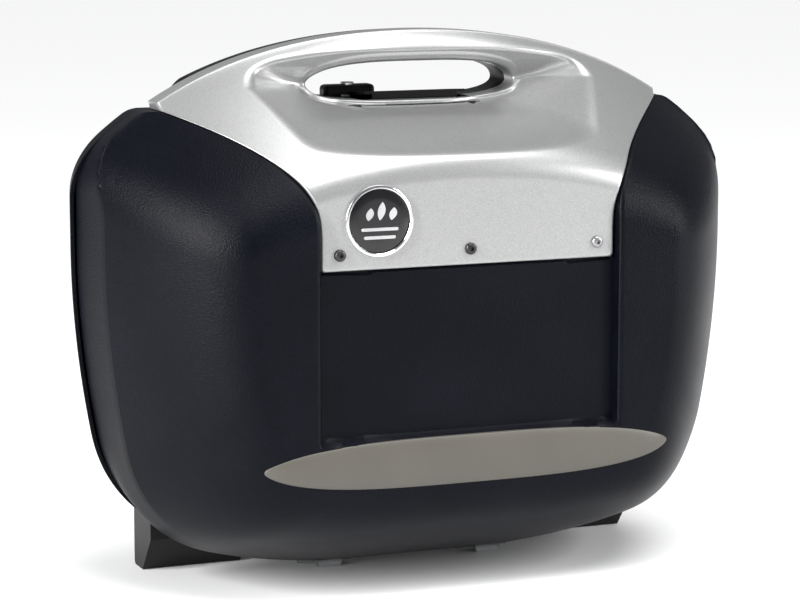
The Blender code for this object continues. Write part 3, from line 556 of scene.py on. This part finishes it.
def panel_back(x, z):
    w = step((z - (Z_DECK - 0.0004)) / 0.0012)
    return (panel_face(x, z) + PANEL_T) * (1 - w) + (Y_PART - GAP) * w


rings = []
lip_p = inner + nrm * lip[:, None]
y_lip = panel_face(lip_p[:, 0], lip_p[:, 1])
y_in = panel_face(inner[:, 0], inner[:, 1])
y_lip = np.minimum(y_lip, Y_PART - GAP - 0.0030 - lip * 0.3)
SILL_Y = Y_PART - 0.0165
for v in np.linspace(0, 1, 9)[:-1]:            # tunnel, from the back forwards
    y = (Y_PART - GAP) * (1 - v) + (y_lip + lip) * v
    y = np.minimum(y, Y_PART - GAP)
    rings.append(ring3(inner, y))
for ph in np.linspace(0, math.pi / 2, 9):      # rounded lip
    p = inner + nrm * (lip * (1 - math.cos(ph)))[:, None]
    rings.append(ring3(p, np.minimum(y_lip + lip * (1 - math.sin(ph)), Y_PART - GAP)))
E = 0.0018                                     # rounding of the outer edge
outer = paired_outer(0.0004, n_top, n_low)
outer_in = paired_outer(0.0004 + E, n_top, n_low)
S = np.linspace(0, 1, 131)[1:]
for s in S:
    p = lip_p * (1 - s) + outer_in * s
    y = panel_face(p[:, 0], p[:, 1])
    w = step(s / 0.06)
    y = y_lip * (1 - w) + y * w if s < 0.06 else y
    rings.append(ring3(p, np.minimum(y, Y_PART - 0.0125)))
y_edge = rings[-1][:, 1]
for ph in np.linspace(0, math.pi / 2, 6)[1:]:
    k = math.sin(ph)
    p = outer_in * (1 - k) + outer * k
    rings.append(ring3(p, y_edge + E * (1 - math.cos(ph))))
is_arch = np.zeros(N, bool)
is_arch[:n_top + 1] = True
is_arch |= outer[:, 1] > Z_DECK - 0.0002
y_rim = np.where(is_arch, Y_PART - GAP, y_edge + PANEL_T)
for v in (0.25, 0.5, 0.75, 1.0):
    rings.append(ring3(outer, (y_edge + E) * (1 - v) + y_rim * v))
for s in np.linspace(0, 1, 61)[1:]:
    p = outer * (1 - s) + inner * s
    y = np.maximum(panel_back(p[:, 0], p[:, 1]), -0.2)
    if s >= 0.999:
        continue
    rings.append(ring3(p, np.where(p[:, 1] > Z_DECK + 0.0012, Y_PART - GAP, y)))
co, faces = loops(rings, True)
# cut-out in the sill for the latch lever
mask = (co[:, 0] > -0.0385) & (co[:, 0] < 0.0445) & (co[:, 1] > SILL_Y - 0.0015) & (co[:, 2] < 0.3400) & (co[:, 2] > 0.3326)
co[mask, 2] = 0.3326
panel = make("front_panel_skin", co, faces, SILVER, "lid", "front_panel", 40.0)


# ------------------------------------------------------------------ lid shell
def edge_z(xs, up, grow, lift, inset):
    lo, hi = np.full_like(xs, 0.19), np.full_like(xs, 0.45 if up else -0.05)
    for _ in range(40):
        m = (lo + hi) / 2
        ins = inward(xs, m, grow, lift) > inset
        lo = np.where(ins, m, lo)
        hi = np.where(ins, hi, m)
    return lo


def rim_point(dx, dz, grow, lift, inset=0.0, centre=(0.0, 0.19)):
    lo, hi = np.zeros_like(dx), np.full_like(dx, 0.5)
    for _ in range(40):
        m = (lo + hi) / 2
        ins = inward(centre[0] + m * dx, centre[1] + m * dz, grow, lift) > inset
        lo = np.where(ins, m, lo)
        hi = np.where(ins, hi, m)
    return centre[0] + lo * dx, centre[1] + lo * dz


def tub_grid(grow, lift, t_out, n_mid, n_row, inset=0.0, split=0.0008):
    ang = np.linspace(math.radians(-38.0), math.radians(36.5), n_row + 1)
    rx, rz = rim_point(np.cos(ang), np.sin(ang), grow, lift, inset)
    xm = np.linspace(-1, 1, n_mid + 1)
    s = (1 - np.cos(np.pi * np.linspace(0, 1, n_row + 1))) / 2
    s = 0.35 * s + 0.65 * np.linspace(0, 1, n_row + 1)
    rxs, rzs = np.interp(s, np.linspace(0, 1, n_row + 1), rx), np.interp(s, np.linspace(0, 1, n_row + 1), rz)
    xb_c, xt_c = STEP_X, float(flare(np.array([Z_DECK]))[0]) - 0.002
    zb_mid = edge_z(xm * xb_c, False, grow, lift, inset)
    zt_mid = edge_z(xm * xt_c, True, grow, lift, inset)
    u = t_out
    bx = xb_c + (rx[0] - xb_c) * u
    bz = edge_z(bx, False, grow, lift, inset)
    bz[-1] = rz[0]
    tx = xt_c + (rx[-1] - xt_c) * u
    tz = edge_z(tx, True, grow, lift, inset)
    tz[-1] = rz[-1]
    zi = zb_mid[-1] + (zt_mid[-1] - zb_mid[-1]) * s
    xi = np.where(zi < 0.25, STEP_X, np.maximum(flare(zi), STEP_X))
    xi[-1] = xt_c
    X, Z = [], []
    for j in range(n_row + 1):
        v = s[j]
        mx = xm * xi[j]
        lo_z, hi_z = edge_z(mx, False, grow, lift, inset), edge_z(mx, True, grow, lift, inset)
        mz = lo_z + (hi_z - lo_z) * v
        mz = mz + (zi[j] - mz[-1]) * np.abs(xm)
        px = ((1 - v) * bx + v * tx + (1 - u) * xi[j] + u * rxs[j]
              - ((1 - u) * (1 - v) * bx[0] + u * (1 - v) * bx[-1] + (1 - u) * v * tx[0] + u * v * tx[-1]))
        pz = ((1 - v) * bz + v * tz + (1 - u) * zi[j] + u * rzs[j]
              - ((1 - u) * (1 - v) * bz[0] + u * (1 - v) * bz[-1] + (1 - u) * v * tz[0] + u * v * tz[-1]))
        mx[0] += 0.0002
        mx[-1] -= 0.0002
        px[0] += split
        X.append(np.concatenate([-px[::-1], mx, px]))
        Z.append(np.concatenate([pz[::-1], mz, pz]))
    return np.array(X), np.array(Z)


def ring_index(nr, nc):
    return ([(0, i) for i in range(nc)] + [(j, nc - 1) for j in range(1, nr)]
            + [(nr - 1, i) for i in range(nc - 2, -1, -1)] + [(j, 0) for j in range(nr - 2, 0, -1)])


def shell(name, outer_grid, inner_grid, bands, mat, body, node, smooth=35.0):
    """Closed shell: outer sheet, bands over the rim, inner sheet."""
    (X, Y, Z), (X2, Y2, Z2) = outer_grid, inner_grid
    nr, nc = X.shape
    base = nr * nc
    co = [np.stack([X.ravel(), Y.ravel(), Z.ravel()], 1), np.stack([X2.ravel(), Y2.ravel(), Z2.ravel()], 1)]
    faces = []
    for j in range(nr - 1):
        for i in range(nc - 1):
            a = j * nc + i
            faces.append((a, a + 1, a + nc + 1, a + nc))
            faces.append((base + a, base + a + nc, base + a + nc + 1, base + a + 1))
    ri = ring_index(nr, nc)
    n = len(ri)
    prev = [j * nc + i for j, i in ri]
    r_out = np.array([[X[j, i], Y[j, i], Z[j, i]] for j, i in ri])
    r_in = np.array([[X2[j, i], Y2[j, i], Z2[j, i]] for j, i in ri])
    count = 2 * base
    for fun in bands:
        ring = fun(r_out, r_in)
        co.append(ring)
        new = list(range(count, count + n))
        count += n
        for k in range(n):
            m = (k + 1) % n
            faces.append((prev[k], new[k], new[m], prev[m]))
        prev = new
    new = [base + j * nc + i for j, i in ri]
    for k in range(n):
        m = (k + 1) % n
        faces.append((prev[k], new[k], new[m], prev[m]))
    return make(name, np.concatenate(co), faces, mat, body, node, smooth)


def crowd(n, near=0.012, share=0.30):
    """0..1 with a share of the steps crowded next to 0."""
    k = int(n * share)
    return np.concatenate([np.linspace(0, near, k, endpoint=False), near + (1 - near) * np.linspace(0, 1, n + 1 - k)])


T_OUT = np.concatenate([np.array([0, 0.0018, 0.0045, 0.0085, 0.014, 0.021, 0.029, 0.038]),
                        0.038 + 0.962 * np.sin(np.linspace(0, math.pi / 2, 64))[1:] ** 1.0])
N_MID, N_ROW = 120, 190
R_POD = 0.0034


def lid_face(x, z):
    pod = shoulder(x, z)
    face = smax(pod, Y_FACE + 0.0 * x, 0.004)
    mid = np.where(z > PANEL_Z0 - 0.0015, np.maximum(seat(x, z), face), face)
    mid = pod + (mid - pod) * step((z - 0.1125) / 0.0050)
    edge = np.maximum(flare(z), STEP_X)
    d = np.clip(np.abs(x) - edge - 0.0006, 0, R_POD)
    lift = (R_POD - np.sqrt(np.maximum(R_POD ** 2 - (R_POD - d) ** 2, 0)))
    depth = np.clip(np.maximum(face, np.where(z > PANEL_Z0 - 0.0015, seat(x, z), face)) - pod, 0, 0.0035) * step((z - 0.1125) / 0.0050)
    return np.where(np.abs(x) < edge + 0.0006, mid, pod + np.minimum(lift, depth))


def lid_hollow(x, z):
    pod = shoulder(x, z)
    mid = smax(np.maximum(seat(x, z) - 0.004 * step((PANEL_Z0 - 0.012 - z) / 0.02), pod), Y_FACE + 0.0 * x, 0.004)
    w = step((np.maximum(flare(z), STEP_X) + 0.015 - np.abs(x)) / 0.011) * step((z - 0.096) / 0.012)
    return pod + (mid - pod) * w


def offset_face(fun, x, z, t, limit=3.0):
    e = 0.0005
    gx = (fun(x + e, z) - fun(x - e, z)) / (2 * e)
    gz = (fun(x, z + e) - fun(x, z - e)) / (2 * e)
    return fun(x, z) + t * np.sqrt(1 + np.minimum(gx * gx + gz * gz, limit * limit))


X, Z = tub_grid(-SIDE_DRAFT, LOW_DRAFT, T_OUT, N_MID, N_ROW)
Y = np.minimum(lid_face(X, Z), Y_PART - 0.010)
X2, Z2 = tub_grid(-SIDE_DRAFT, LOW_DRAFT, T_OUT, N_MID, N_ROW, WALL)
Y2 = np.minimum(offset_face(lid_hollow, X2, Z2, WALL), Y_PART - 0.012)


BAND_Y = (-0.0160, 0.0, 0.0100, Y_PART - GAP)
BAND_GROW = (-SIDE_DRAFT, -0.0052, -0.0032, 0.0)
BAND_LIFT = (LOW_DRAFT, 0.0080, 0.0055, 0.0135)


def lid_ring(y, inset=0.0, pinch=0.0):
    """Outline of the drafted band at depth y, outside or one wall inside."""
    def f(o, i):
        grow = float(np.interp(y, BAND_Y, BAND_GROW)) - pinch
        lift = float(np.interp(y, BAND_Y, BAND_LIFT))
        GX, GZ = tub_grid(grow, lift, T_OUT, N_MID, N_ROW, inset)
        idx = ring_index(*GX.shape)
        ref = (i if inset else o)[:, 1]
        flat = y >= Y_PART - 0.002
        yy = np.full(len(idx), y) if flat else np.maximum(y, ref + 0.0002 * (1 + (y + 0.02) * 100))
        return np.stack([np.array([GX[k] for k in idx]), yy, np.array([GZ[k] for k in idx])], 1)
    return f


shell("lid_shell_skin", (X, Y, Z), (X2, Y2, Z2),
      [lid_ring(-0.009), lid_ring(-0.004), lid_ring(0.0), lid_ring(0.005), lid_ring(0.010), lid_ring(0.017),
       lid_ring(Y_PART - GAP - 0.0006), lid_ring(Y_PART - GAP, 0.0, 0.0006),
       lid_ring(Y_PART - GAP, WALL), lid_ring(0.0100, WALL), lid_ring(0.0022, WALL)],
      GRAIN, "lid", "lid_shell", 32.0)

# -------------------------------------------------------------- bumper strip
n_s, n_v = 240, 28
u = np.linspace(-1, 1, n_s + 1)
xs = 0.1507 * np.sin(u * math.pi / 2 * 0.985) / math.sin(math.pi / 2 * 0.985)
lo_z, hi_z = strip_edges(xs * 0.998)
vs = (1 - np.cos(np.pi * np.linspace(0, 1, n_v + 1))) / 2
X = np.array([xs for v in vs])
Z = np.array([lo_z + (hi_z - lo_z) * v for v in vs])
env = shoulder(X, Z)
crown = np.array([np.clip(np.sin(math.pi * v), 0, 1) ** 0.42 * np.ones_like(xs) for v in vs])
F = env - 0.0005 - 0.0032 * crown * ell(1 - np.abs(u))
F = F + (Y_STRIP - F.min())
B = np.maximum(env - 0.0002, F + 0.0010) + 0.0012
rows = [np.stack([X[j], F[j], Z[j]], 1) for j in range(n_v + 1)]
co = np.concatenate(rows + [np.stack([X[j], B[j], Z[j]], 1) for j in range(n_v + 1)])
nc, nr = n_s + 1, n_v + 1
faces = []
for j in range(nr - 1):
    for i in range(nc - 1):
        a = j * nc + i
        faces.append((a, a + 1, a + nc + 1, a + nc))
        b = nr * nc + a
        faces.append((b, b + nc, b + nc + 1, b + 1))
ri = ring_index(nr, nc)
for k in range(len(ri)):
    a, b = ri[k], ri[(k + 1) % len(ri)]
    ia, ib = a[0] * nc + a[1], b[0] * nc + b[1]
    faces.append((ia, ia + nr * nc, ib + nr * nc, ib))
make("bumper_strip_skin", co, faces, STRIP, "lid", "bumper_strip", 40.0)

# ---------------------------------------------------------------- base shell
T_B = np.sin(np.linspace(0, 1, 40) * math.pi / 2)
X, Z = tub_grid(0.0004, 0.0150, T_B, 70, 120, 0.0, 0.0004)
Y = np.maximum(base_face(X, Z), Y_PART + 0.014)
X2, Z2 = tub_grid(0.0004, 0.0150, T_B, 70, 120, WALL, 0.0004)
Y2 = np.maximum(-offset_face(lambda a, b: -base_face(a, b), X2, Z2, WALL), Y_PART + 0.013)
Y2 = np.minimum(Y2, base_face(X2, Z2) - 0.0016)


def base_ring(y, inset=0.0, pinch=0.0):
    """Outline of the base's band at depth y, outside or one wall inside."""
    def f(o, i):
        k = min(max((y - RIM_GAP) / 0.0137, 0.0), 1.0)
        GX, GZ = tub_grid(0.0042 - 0.0038 * k - pinch, 0.0135 + 0.0015 * k, T_B, 70, 120, inset, 0.0004)
        idx = ring_index(*GX.shape)
        ref = (i if inset else o)[:, 1]
        return np.stack([np.array([GX[k2] for k2 in idx]), np.minimum(y, ref - 0.0002), np.array([GZ[k2] for k2 in idx])], 1)
    return f


shell("base_shell_skin", (X, Y, Z), (X2, Y2, Z2),
      [base_ring(RIM_GAP + 0.009), base_ring(RIM_GAP + 0.004), base_ring(RIM_GAP + 0.0008), base_ring(RIM_GAP, 0.0, 0.0007),
       base_ring(RIM_GAP, WALL), base_ring(RIM_GAP + 0.008, WALL)],
      BASE, "base", "base_shell", 35.0)

# ------------------------------------------------------ rear half of the arch
M_R = 480
in2 = resample(inner, M_R, True)
tang2 = np.roll(in2, -1, 0) - np.roll(in2, 1, 0)
nrm2 = np.stack([tang2[:, 1], -tang2[:, 0]], 1)
nrm2 /= np.linalg.norm(nrm2, axis=1)[:, None]
nrm2 *= np.sign(((in2 - [0, 0.349]) * nrm2).sum(1))[:, None]


def rear_outline(inset):
    xt = 0.1600 - inset
    xa = np.linspace(xt, -xt, 500)
    top = np.stack([xa, arch(xa) - 0.0012 - inset], 1)
    zb = 0.3345
    left = np.stack([np.linspace(-xt, -0.172, 120), np.linspace(top[-1, 1], zb, 120)], 1)
    bot = np.stack([np.linspace(-0.172, 0.172, 400), np.full(400, zb)], 1)
    right = left[::-1] * [-1, 1]
    return top, np.vstack([left[1:], bot[1:-1], right])


def rear_back(x, z):
    t = np.minimum((arch(x) - 0.0012 - z) / 0.010, (0.176 - np.abs(x)) / 0.02)
    return RIM_GAP + 0.010 + 0.018 * ell(np.clip(t, 0, 1))


top, low = rear_outline(0.0)
i_l = int(np.argmin(in2[:, 0]))
nt_ = int(M_R * 0.45)
in2 = np.vstack([resample(in2[: i_l + 1], nt_ + 1)[:-1], resample(np.vstack([in2[i_l:], in2[:1]]), M_R - nt_ + 1)[:-1]])
out2 = np.vstack([resample(top, nt_ + 1)[:-1], resample(low, M_R - nt_ + 1)[:-1]])
tang2 = np.roll(in2, -1, 0) - np.roll(in2, 1, 0)
nrm2 = np.stack([tang2[:, 1], -tang2[:, 0]], 1)
nrm2 /= np.linalg.norm(nrm2, axis=1)[:, None]
nrm2 *= np.sign(((in2 - [0, 0.349]) * nrm2).sum(1))[:, None]
rings = []
R2 = 0.0035
for v in np.linspace(0, 1, 6)[:-1]:
    yb = rear_back(in2[:, 0], in2[:, 1]) - R2
    rings.append(ring3(in2, RIM_GAP * (1 - v) + yb * v))
for ph in np.linspace(0, math.pi / 2, 6):
    p = in2 + nrm2 * (R2 * (1 - math.cos(ph)))
    rings.append(ring3(p, rear_back(p[:, 0], p[:, 1]) - R2 * (1 - math.sin(ph))))
lip2 = in2 + nrm2 * R2
for s in np.concatenate([np.linspace(0, 0.8, 14)[1:], np.linspace(0.8, 1, 12)[1:]]):
    p = lip2 * (1 - s) + out2 * s
    rings.append(ring3(p, rear_back(p[:, 0], p[:, 1])))
for v in (0.5, 1.0):
    rings.append(ring3(out2, rear_back(out2[:, 0], out2[:, 1]) * (1 - v) + RIM_GAP * v))
for s in (0.33, 0.66):
    rings.append(ring3(out2 * (1 - s) + in2 * s, np.full(M_R, RIM_GAP)))
co, faces = loops(rings, True)
# pocket in the sill for the lever and the lock
mask = (co[:, 0] > -0.0375) & (co[:, 0] < 0.0435) & (co[:, 1] < 0.0436) & (co[:, 2] < 0.3400) & (co[:, 2] > 0.3320)
co[mask, 2] = 0.3322
make("rear_handle_half_skin", co, faces, BASE, "base", "rear_handle_half", 35.0)

# -------------------------------------------------------------------- badge
cy = Y_PANEL - GAP
bm = turned_bm([(0.0216, -0.0004), (0.0216, 0.0011), (0.0219, 0.0017), (0.0226, 0.0022), (0.0233, 0.0022), (0.0240, 0.0018),
                (0.0244, 0.0011), (0.0245, 0.0002), (0.0245, -0.0004), (0.0216, -0.0004)],
               (BADGE[0], cy, BADGE[1]), (0, -1, 0), 160)
bmesh.ops.remove_doubles(bm, verts=bm.verts, dist=0.000001)
from_bm("badge_bezel_ring", bm, CHROME, "lid", "badge_bezel", 30.0)
bm = turned_bm([(0.0, -0.0003), (0.0215, -0.0003), (0.0215, 0.0006), (0.0209, 0.0009), (0.014, 0.0011), (0.006, 0.0012), (0.0, 0.0012)],
               (BADGE[0], cy, BADGE[1]), (0, -1, 0), 160)
from_bm("badge_disc_domed", bm, GLOSS, "lid", "badge_disc", 30.0)


def flat_relief(name, polys, y0, y1, mat, body):
    bm = bmesh.new()
    for poly in polys:
        a = [bm.verts.new((x, y0, z)) for x, z in poly]
        b = [bm.verts.new((BADGE[0] + (x - BADGE[0]) * 0.985, y1, z)) for x, z in poly]
        n = len(poly)
        bm.faces.new(a)
        bm.faces.new(b[::-1])
        for k in range(n):
            bm.faces.new((a[k], b[k], b[(k + 1) % n], a[(k + 1) % n]))
    return from_bm(name, bm, mat, body, None, 30.0)


bx, bz = BADGE
polys = []
# a plain generic mark: three slanted leaves over a bar, nothing written
for k, (ox, h) in enumerate(((-0.0085, 0.0085), (0.0, 0.0125), (0.0085, 0.0085))):
    pts = []
    for t in np.linspace(0, 1, 14):
        pts.append((bx + ox + 0.0030 * math.sin(math.pi * t) ** 0.8 + 0.0020 * t, bz + 0.0005 + h * t))
    for t in np.linspace(1, 0, 14)[1:-1]:
        pts.append((bx + ox - 0.0026 * math.sin(math.pi * t) ** 0.8 + 0.0020 * t, bz + 0.0005 + h * t))
    polys.append(pts)
for zc, w in ((-0.0055, 0.0125), (-0.0110, 0.0105)):
    r = 0.0011
    pts = []
    for a in np.linspace(-90, 90, 8):
        pts.append((bx + w + r * math.cos(math.radians(a)), bz + zc + r * math.sin(math.radians(a))))
    for a in np.linspace(90, 270, 8):
        pts.append((bx - w + r * math.cos(math.radians(a)), bz + zc + r * math.sin(math.radians(a))))
    polys.append(pts)
flat_relief("badge_mark", polys, cy - 0.0008, cy - 0.0015, EMBLEM, "lid")


# ------------------------------------------------------------- panel screws
def socket_screw(name, x, z, mat, node, head=0.0041):
    """Button head with a rounded rim and a six-sided socket."""
    bm = bmesh.new()
    c = Vector((x, Y_PANEL - 0.0002, z))
    steps = 48
    prof = [(head, 0.0003), (head * 0.985, 0.0010), (head * 0.90, 0.0017), (head * 0.74, 0.0022), (head * 0.55, 0.0025)]
    rows = []
    for r, h in prof:
        rows.append([bm.verts.new(c + Vector((r * math.cos(2 * math.pi * k / steps), -h, r * math.sin(2 * math.pi * k / steps)))) for k in range(steps)])
    hexa = []
    for k in range(steps):
        a = 2 * math.pi * k / steps
        r = head * 0.40 * math.cos(math.pi / 6) / math.cos((a % (math.pi / 3)) - math.pi / 6)
        hexa.append(r)
    rows.append([bm.verts.new(c + Vector((hexa[k] * math.cos(2 * math.pi * k / steps), -0.0025, hexa[k] * math.sin(2 * math.pi * k / steps)))) for k in range(steps)])
    rows.append([bm.verts.new(c + Vector((hexa[k] * 0.98 * math.cos(2 * math.pi * k / steps), -0.0008, hexa[k] * 0.98 * math.sin(2 * math.pi * k / steps)))) for k in range(steps)])
    for a, b in zip(rows, rows[1:]):
        for k in range(steps):
            m = (k + 1) % steps
            bm.faces.new((a[k], b[k], b[m], a[m]))
    bm.faces.new(rows[-1])
    back = [bm.verts.new(c + Vector((head * math.cos(2 * math.pi * k / steps), 0.0004, head * math.sin(2 * math.pi * k / steps)))) for k in range(steps)]
    for k in range(steps):
        m = (k + 1) % steps
        bm.faces.new((back[k], rows[0][k], rows[0][m], back[m]))
    shank = [bm.verts.new(c + Vector((0.0018 * math.cos(2 * math.pi * k / steps), 0.0004, 0.0018 * math.sin(2 * math.pi * k / steps)))) for k in range(steps)]
    tip = [bm.verts.new(v.co + Vector((0, 0.0088, 0))) for v in shank]
    for k in range(steps):
        m = (k + 1) % steps
        bm.faces.new((shank[k], back[k], back[m], shank[m]))
        bm.faces.new((tip[k], shank[k], shank[m], tip[m]))
    bm.faces.new(tip)
    return from_bm(name, bm, mat, "lid", node, 30.0)


SCREW_BLACK = metal("screw_black", (0.030, 0.030, 0.032), 0.34, (1, 1, 1), 0.15, 0.5)
SCREW_GREY = metal("screw_grey", (0.34, 0.34, 0.35), 0.36, (1, 1, 1), 0.2, 0.9)
socket_screw("screw_left_head", -SCREW_X, SCREW_Z, SCREW_BLACK, "panel_screw_left")
socket_screw("screw_center_head", 0.0, SCREW_Z, SCREW_BLACK, "panel_screw_center")
socket_screw("screw_right_head", SCREW_X, SCREW_Z, SCREW_GREY, "panel_screw_right")

# -------------------------------------- carried-over nodes get real materials
WEAR = {
    "latch_keeper": ZINC, "rim_gasket": RUBBER, "foot_left": NYLON, "foot_right": NYLON,
    "latch_lever": NYLON, "lock_housing": NYLON, "lock_cylinder": CHROME, "rack_knob": NYLON,
    "rack_plate": STEEL, "rack_bolt_housing": STEEL, "rack_hook_left": STEEL, "rack_hook_right": STEEL,
    "rack_bolt": ZINC, "latch_pin": ZINC,
}
for name, ob in NODES.items():
    if ob.hide_render:
        continue
    mat = WEAR.get(name)
    if mat is None:
        if name.startswith(("hinge_", "plate_screw")):
            mat = ZINC
        elif name.startswith("strap_anchor") or name.startswith("strap_buckle"):
            mat = NYLON
        elif name.startswith("strap_"):
            mat = WEB
        else:
            mat = NYLON
    ob.data.materials.clear()
    ob.data.materials.append(mat)

# ---------------------------------------------------------- floor and light
floor_mat, nt, b = nodes_of("studio_floor", 0.62, 0.0, (0.93, 0.93, 0.93))
b.inputs["Specular IOR Level"].default_value = 0.25
me = bpy.data.meshes.new("studio_floor")
me.from_pydata([(-40, -40, 0), (40, -40, 0), (40, 40, 0), (-40, 40, 0)], [], [(0, 1, 2, 3)])
me.materials.append(floor_mat)
floor = bpy.data.objects.new("studio_floor", me)
floor.location = (0, 0, -0.0004)
scene.collection.objects.link(floor)

world = bpy.data.worlds.new("studio")
scene.world = world
world.use_nodes = True
bg = world.node_tree.nodes["Background"]
bg.inputs["Color"].default_value = (0.98, 0.99, 1.0, 1)
bg.inputs["Strength"].default_value = 0.26


def area(name, loc, target, size, energy, colour=(1, 1, 1)):
    ld = bpy.data.lights.new(name, "AREA")
    ld.shape = "RECTANGLE"
    ld.size, ld.size_y = size
    ld.energy = energy
    ld.color = colour
    ob = bpy.data.objects.new(name, ld)
    ob.location = loc
    ob.rotation_euler = (Vector(target) - Vector(loc)).to_track_quat("-Z", "Y").to_euler()
    scene.collection.objects.link(ob)
    return ob


sd = bpy.data.lights.new("key_sun", "SUN")
sd.energy = 2.7
sd.angle = math.radians(40.0)
sun = bpy.data.objects.new("key_sun", sd)
sun.rotation_euler = (math.radians(16.0), math.radians(10.0), 0.0)
scene.collection.objects.link(sun)
area("left_strip", (-1.9, -0.7, 1.0), (0, 0, 0.22), (0.22, 1.5), 80)
area("right_box", (1.6, -1.2, 0.9), (0, 0, 0.2), (0.30, 1.1), 34)
scene.view_settings.view_transform = "Standard"
